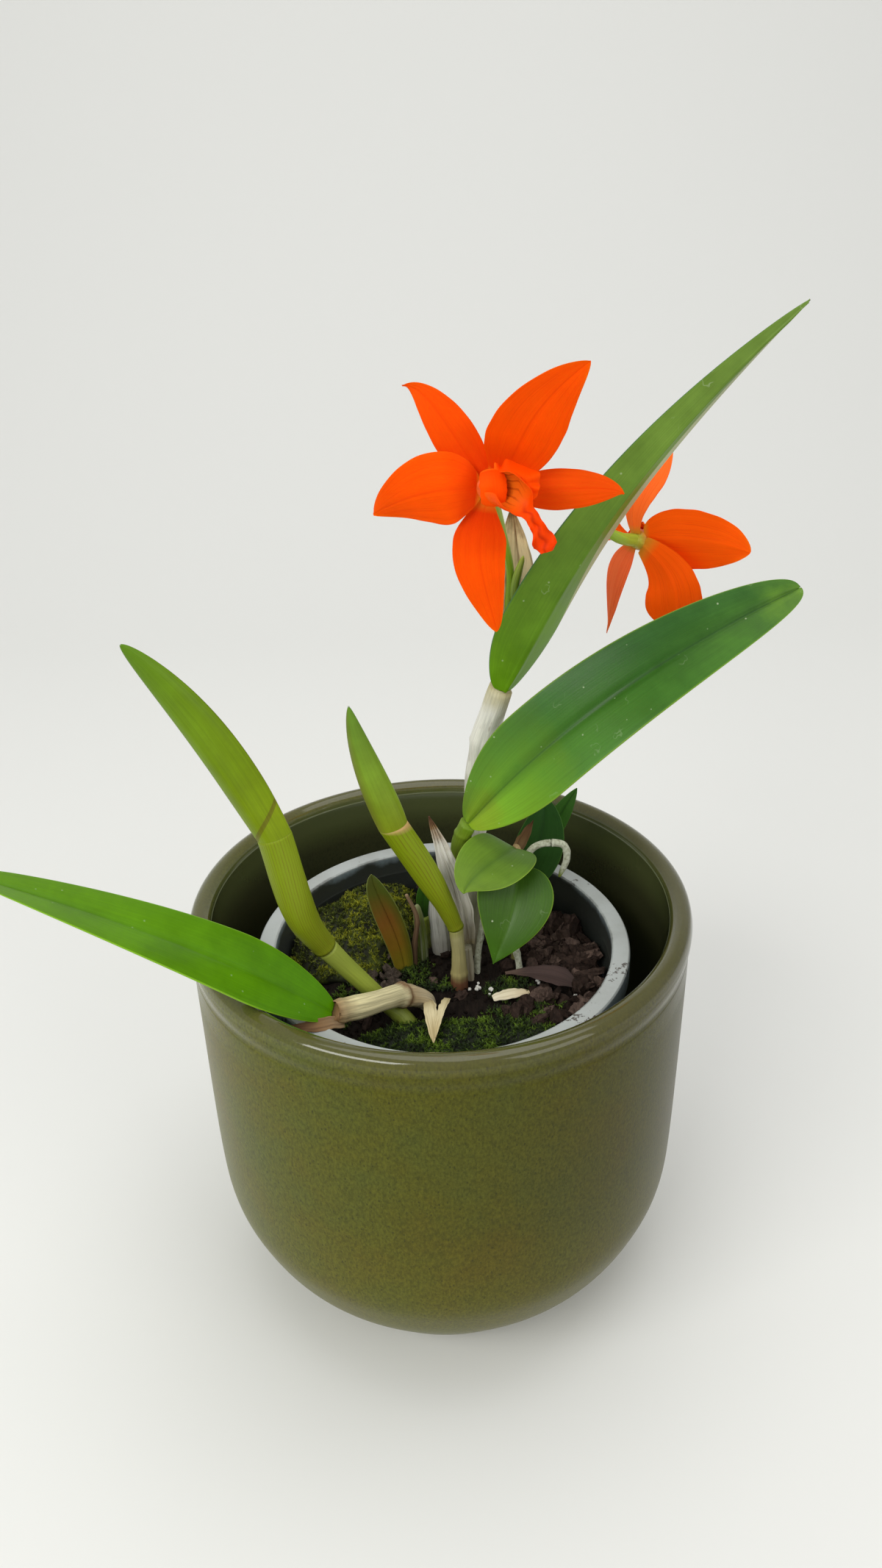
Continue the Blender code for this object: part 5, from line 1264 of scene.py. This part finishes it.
BLOOM_1 = dict(centre=(15.4, -17.0, 284.0), axis=(0.08, -0.96, 0.22), down=(0.6, -0.13, -0.79), spread=1.0,
    arrive=(0.08, -0.96, 0.22))
TEPALS_1 = dict(
    petal_right=dict(layer=1, path=((24.2, -16, 292.4), (21.5, -27, 304), (38, -33, 316.5)), turn=(-6, 18),
        half=9.3, peak=0.5, rise=1.0, fall=0.68, fold=6),
    petal_left=dict(layer=1, path=((8.4, -21.5, 284.8), (-1, -20.5, 286.7), (-14.5, -8, 275.5)),
        turn=(-4, -18), half=9.4, peak=0.5, rise=0.85, fall=0.71, fold=-6),
    sepal_top=dict(layer=0, path=((9, -15, 292), (1, -13.5, 309.8), (-5.6, -9, 308)), turn=(0, -10),
        base=2.6, half=5.6, peak=0.36, rise=1.0, fall=1.2, fold=10),
    sepal_low=dict(layer=0, path=((11.3, -19, 263.6), (13, -22, 264.7), (17.4, -20, 246.5)), turn=(-7, 5),
        half=7.1, peak=0.28, rise=1.2, fall=0.56, fold=-8),
    sepal_right=dict(layer=0, path=((31, -17, 282.4), (46, -18, 284.7), (49.2, -21, 282.6)), turn=(-6, -14),
        half=5.2, peak=0.38, rise=1.3, fall=1.0, fold=-8))
BLOOM_2 = dict(centre=(63.4, 36.6, 252.6), axis=(0.62, 0.76, 0.15), down=(0.1, 0.1, -1), spread=0.45,
    arrive=(0.76, 0.56, -0.3))
TEPALS_2 = dict(
    sepal_top=dict(layer=0, path=((59.4, 36, 266), (66.6, 36, 274), (74, 44, 279)), turn=(-4, -4), half=5.3,
        peak=0.6, rise=1.0, fall=0.9, fold=10),
    petal_near=dict(layer=1, path=((71, 33, 253.7), (86, 26, 256), (94.6, 22, 252.6)), turn=(9, -5),
        base=4.0, half=10.2, peak=0.42, rise=0.75, fall=0.66, fold=5),
    sepal_near=dict(layer=0, path=((76.8, 24, 242.6), (71.2, 25, 237.8), (77.1, 28, 225.6)), turn=(-4, -46),
        half=8.6, base=3.0, peak=0.66, rise=0.72, fall=0.95, fold=5),
    sepal_far=dict(layer=0, path=((56, 38, 244), (58, 43, 229), (57.5, 49, 218)), turn=(-30, 40), base=1.4,
        half=3.5, peak=0.3, rise=0.8, fall=1.1, fold=8),
    petal_far=dict(layer=1, path=((58, 46, 254), (53, 53, 256), (50, 58, 254)), turn=(0, 0), base=0.8,
        half=6.4, peak=0.6, rise=2.2, fall=0.7, fold=5))
# The tepals whose face and back differ from the others of their bloom.
# 1sepal_right's darker face is painted shade, and 2sepal_far's lighter back is painted light.
OWN_COLOURS = {"1sepal_right": ("#DC4800", "#F25410"), "1sepal_top": ("#EE4C00", "#F25410"),
    "2sepal_top": ("#FA5000", "#F86A26"), "2sepal_far": ("#FA5000", "#FF7440")}
joined, leaving, _ = up_to_leaf((), LEAF_A, back=PEDUNCLE_SEAT)
STALK_1 = dict(path=(tuple(np.asarray(joined[-1]) + leaving * GAP), (23.9, 22.2, 222), (23.2, 21.6, 236),
        (23.4, 18.4, 250), (20.6, 10, 264), (17.4, -4, 277)),
    radii=(1.1, 1.15, 1.15, 1.15, 1.2, 1.5, 1.9, 1.8), start=leaving)
STALK_2 = dict(path=((26.2, 21.4, 238.5), (31.2, 22, 248), (38, 24, 256.4), (47.6, 29, 260),
        (56.8, 31.8, 255.4)), radii=(1.0, 1.1, 1.15, 1.3, 1.7, 1.9, 1.8), start=None)
stalk_green = stalk_skin("waxy_green_stalk",
    ((0.0, "#6F8A24"), (0.5, "#86A82A"), (0.9, "#A6BC3C"), (1.0, "#C8A84A")))
lip_red = lip_skin("lip_orange_red")
lip_plain = petal_skin("lip_lobe_orange", "#FA4E00", "#F86A10", "#FA4E00", 3.4, 14, vein="#EE4400", glow=0.03)
# The second bloom's backs are painted lighter than the first's: painted light where they face from the
# window.
for tag, bloom, tepals, stalk, front, back in (("1", BLOOM_1, TEPALS_1, STALK_1, "#FC5200", "#F25410"),
        ("2", BLOOM_2, TEPALS_2, STALK_2, "#FA5000", "#FF5A04")):
    flower, centre, axis = f"bloom_{tag}", np.asarray(bloom["centre"], float), unit(bloom["axis"])
    for seed, (node, spec) in enumerate(tepals.items()):
        outward = np.asarray(spec["path"][0], float) - centre
        outward = unit(outward - (outward @ axis) * axis)
        seat = centre + outward * TEPAL_SEAT + axis * spec["layer"] * (TEPAL_THICK + GAP)
        full = dict(face=tuple(axis), base=PETAL_BASE if spec["layer"] else SEPAL_BASE, thick=TEPAL_THICK)
        full.update(spec, path=(tuple(seat), *spec["path"]))
        tepal = grow_blade(f"{flower}_{node}_blade", full, rings=80, around=72, groove=0.12, keel=0.2,
            ripple=0.5, crinkle=0.28 if spec["layer"] else 0.12, ragged=0.012,
            seed=70 + seed + 10 * int(tag), relief=tepal_relief)
        shown, rear = OWN_COLOURS.get(tag + node, (front, back))
        dress(tepal, petal_skin(f"{flower}_{node}_skin", shown, "#E88A20", rear, spec["half"], 36), "petal",
            f"{flower}_{node}")
    down = unit(np.asarray(bloom["down"]) - (unit(bloom["down"]) @ axis) * axis)
    seat, across = centre + axis * 3.0 + down * (4.3 - 2 * bloom["spread"]), np.cross(axis, down)
    right, up = down * 0.61 + across * 0.79, (across * 0.61 - down * 0.79) * bloom["spread"]
    lip_path = (seat, seat + axis * 11 + down * 2 + across * 3.0,
        centre + axis * 14 + down * 11 + across * 4.2, centre + axis * 13.5 + down * 19.8 + across * 0.8)
    lip = grow_blade(flower + "_lip_frilled", dict(path=lip_path, face=tuple(axis - down),
            profile=LIP_PROFILE, curl=LIP_CURL, thick=0.8), rings=150, around=110, crinkle=0.9, ripple=0.3,
        ragged=0.1, seed=90 + int(tag), relief=lip_relief)
    dress(lip, lip_red, "lip", flower + "_lip")
    lobe_path = (centre + axis * 8.6 + up * 4.6 - right * 0.4, centre + axis * 11.6 + up * 2.8 - right * 0.3,
        centre + axis * 11.6 - up * 1.2, centre + axis * 9.6 - up * 4.2)
    lobe = grow_blade(flower + "_side_lobe", dict(path=lobe_path, face=tuple(axis), profile=LOBE_PROFILE,
            curl=(-20, -20), thick=0.8), rings=40, around=48, crinkle=0.25, ragged=0.04, seed=101)
    dress(lobe, lip_plain, "lip")
    frill_path = (centre + axis * 8 + up * 4.6 + right * 0.4, centre + axis * 10 + up * 6 + right * 4.2,
        centre + axis * 11.5 + up * 4.8 + right * 12.0, centre + axis * 12 - up * 2.2 + right * 8.4)
    frill = grow_blade(flower + "_frilled_margin",
        dict(path=frill_path, face=tuple(axis * 0.7 + up * 0.7), profile=FRILL_PROFILE, thick=0.8), rings=90,
        around=44, seed=102, ragged=0.05, relief=frill_relief)
    dress(frill, lip_plain, "lip")
    end = centre + axis * (TEPAL_THICK + GAP)
    column = grow_tube(flower + "_column_capped",
        (tuple(end + axis * GAP), tuple(end + axis * 4), tuple(end + axis * 7.5)),
        (1.35, 1.4, 1.5, 1.65, 1.5, 0.9), uneven=0.05, ribs=0.08, around=28, seed=95,
        rings=((0.72, 0.2, 0.7),))
    dress(column, stalk_skin(flower + "_column_skin",
            ((0.0, "#E8A030"), (0.6, "#F47820"), (1.0, "#F48A30"))), "column", flower + "_column")
    arrive = unit(bloom["arrive"])
    heart = grow_tube(flower + "_receptacle", (tuple(centre - arrive * 3), tuple(centre - arrive * 0.6),
            tuple(centre + axis * 1.9)), (1.5, 1.7, 2.2, 3.4, 3.2), uneven=0.06, around=40, seed=99, per=10)
    dress(heart, stalk_skin(flower + "_receptacle_skin",
            ((0.0, "#8FA62A"), (0.5, "#A8A62C"), (0.85, "#D8701A"), (1.0, "#E8580C"))), "peduncle")
    stem = grow_tube(f"peduncle_{tag}_round", (*stalk["path"], tuple(centre - arrive * 3.4), tuple(end)),
        stalk["radii"], ends=(stalk["start"], axis), ribs=0.06, uneven=0.03, around=28, seed=97)
    dress(stem, stalk_green, "peduncle", f"peduncle_{tag}")
bud = grow_tube("flower_bud_small", ((24.6, 18.2, 239.5), (24.9, 17, 247), (27, 15.4, 255.6)),
    (1.0, 1.3, 1.2, 0.6), ribs=0.08, uneven=0.05, shrink=0.6, seed=98)
dress(bud, stalk_skin("bud_green", ((0.0, "#5E7A20"), (0.6, "#7E9A30"), (1.0, "#A8B84A"))), "bud",
    "flower_bud")


# The litter. A forked straw, a pale chip of wood and a dead leaf that have fallen on the mix.
straw_skin = dry_skin("straw_skin", ((0, "#C2B286"), (0.5, "#DBCEA6"), (1, "#C0AE80")), "#8E7A50", 1.2, 20,
    fibre=0.5, contrast=0.7)
for node, path, half, seed in (("straw_1", ((-4.2, -19, 121.8), (-3.9, -25, 124.6), (-3.4, -32, 125.4),
                (-3.0, -40.5, 123.4)), 2.1, 51),
        ("straw_2", ((1.6, -19.4, 122.8), (0.2, -25, 125.4), (-1.6, -32, 126), (-2.4, -39, 124.2)), 1.3, 52)):
    straw = grow_blade(node + "_split", dict(path=path, face=(0, 0, 1), half=half, base=1.1, peak=0.45,
            rise=0.7, fall=0.6, fold=15, thick=0.7), rings=50, around=36, crinkle=0.25, ragged=0.16,
        seed=seed)
    dress(straw, straw_skin, "straw", node)
chip = grow_blade("wood_chip_pale", dict(path=((16.2, -15.6, 119.4), (20, -14.6, 120.2), (25, -13.6, 120.2),
            (29, -13, 119.5)), face=(0, -0.3, 1), half=1.9, base=1.0, peak=0.4, rise=0.6, fall=0.6, fold=4,
        thick=1.4), rings=50, around=40, crinkle=0.25, ragged=0.1, seed=53)
dress(chip, dry_skin("fresh_wood", ((0, "#E6DDC2"), (0.5, "#E4D8B8"), (1, "#CDBA94")), "#A8905E", 1.9, 14,
        fibre=0.45, contrast=0.5), "wood_chip", "wood_chip")
dead = grow_blade("dead_leaf_curled", dict(path=((21, -4, 120.0), (29, -5.6, 122.4), (37, -9.5, 123.2),
            (45.2, -13.4, 120.8)), face=(0, -0.2, 1), half=4.0, base=0.6, peak=0.64, rise=1.8, fall=0.9,
        fold=16, thick=0.7), rings=70, around=56, crinkle=0.6, ripple=0.8, ragged=0.05, groove=0.1, seed=54)
dress(dead, dry_skin("dead_leaf_skin", ((0, "#6A564A"), (0.35, "#4A3A36"), (0.7, "#443430"), (1, "#382C28")),
        "#241A18", 4, 26, fibre=0.7, contrast=0.5), "dead_leaf", "dead_leaf")
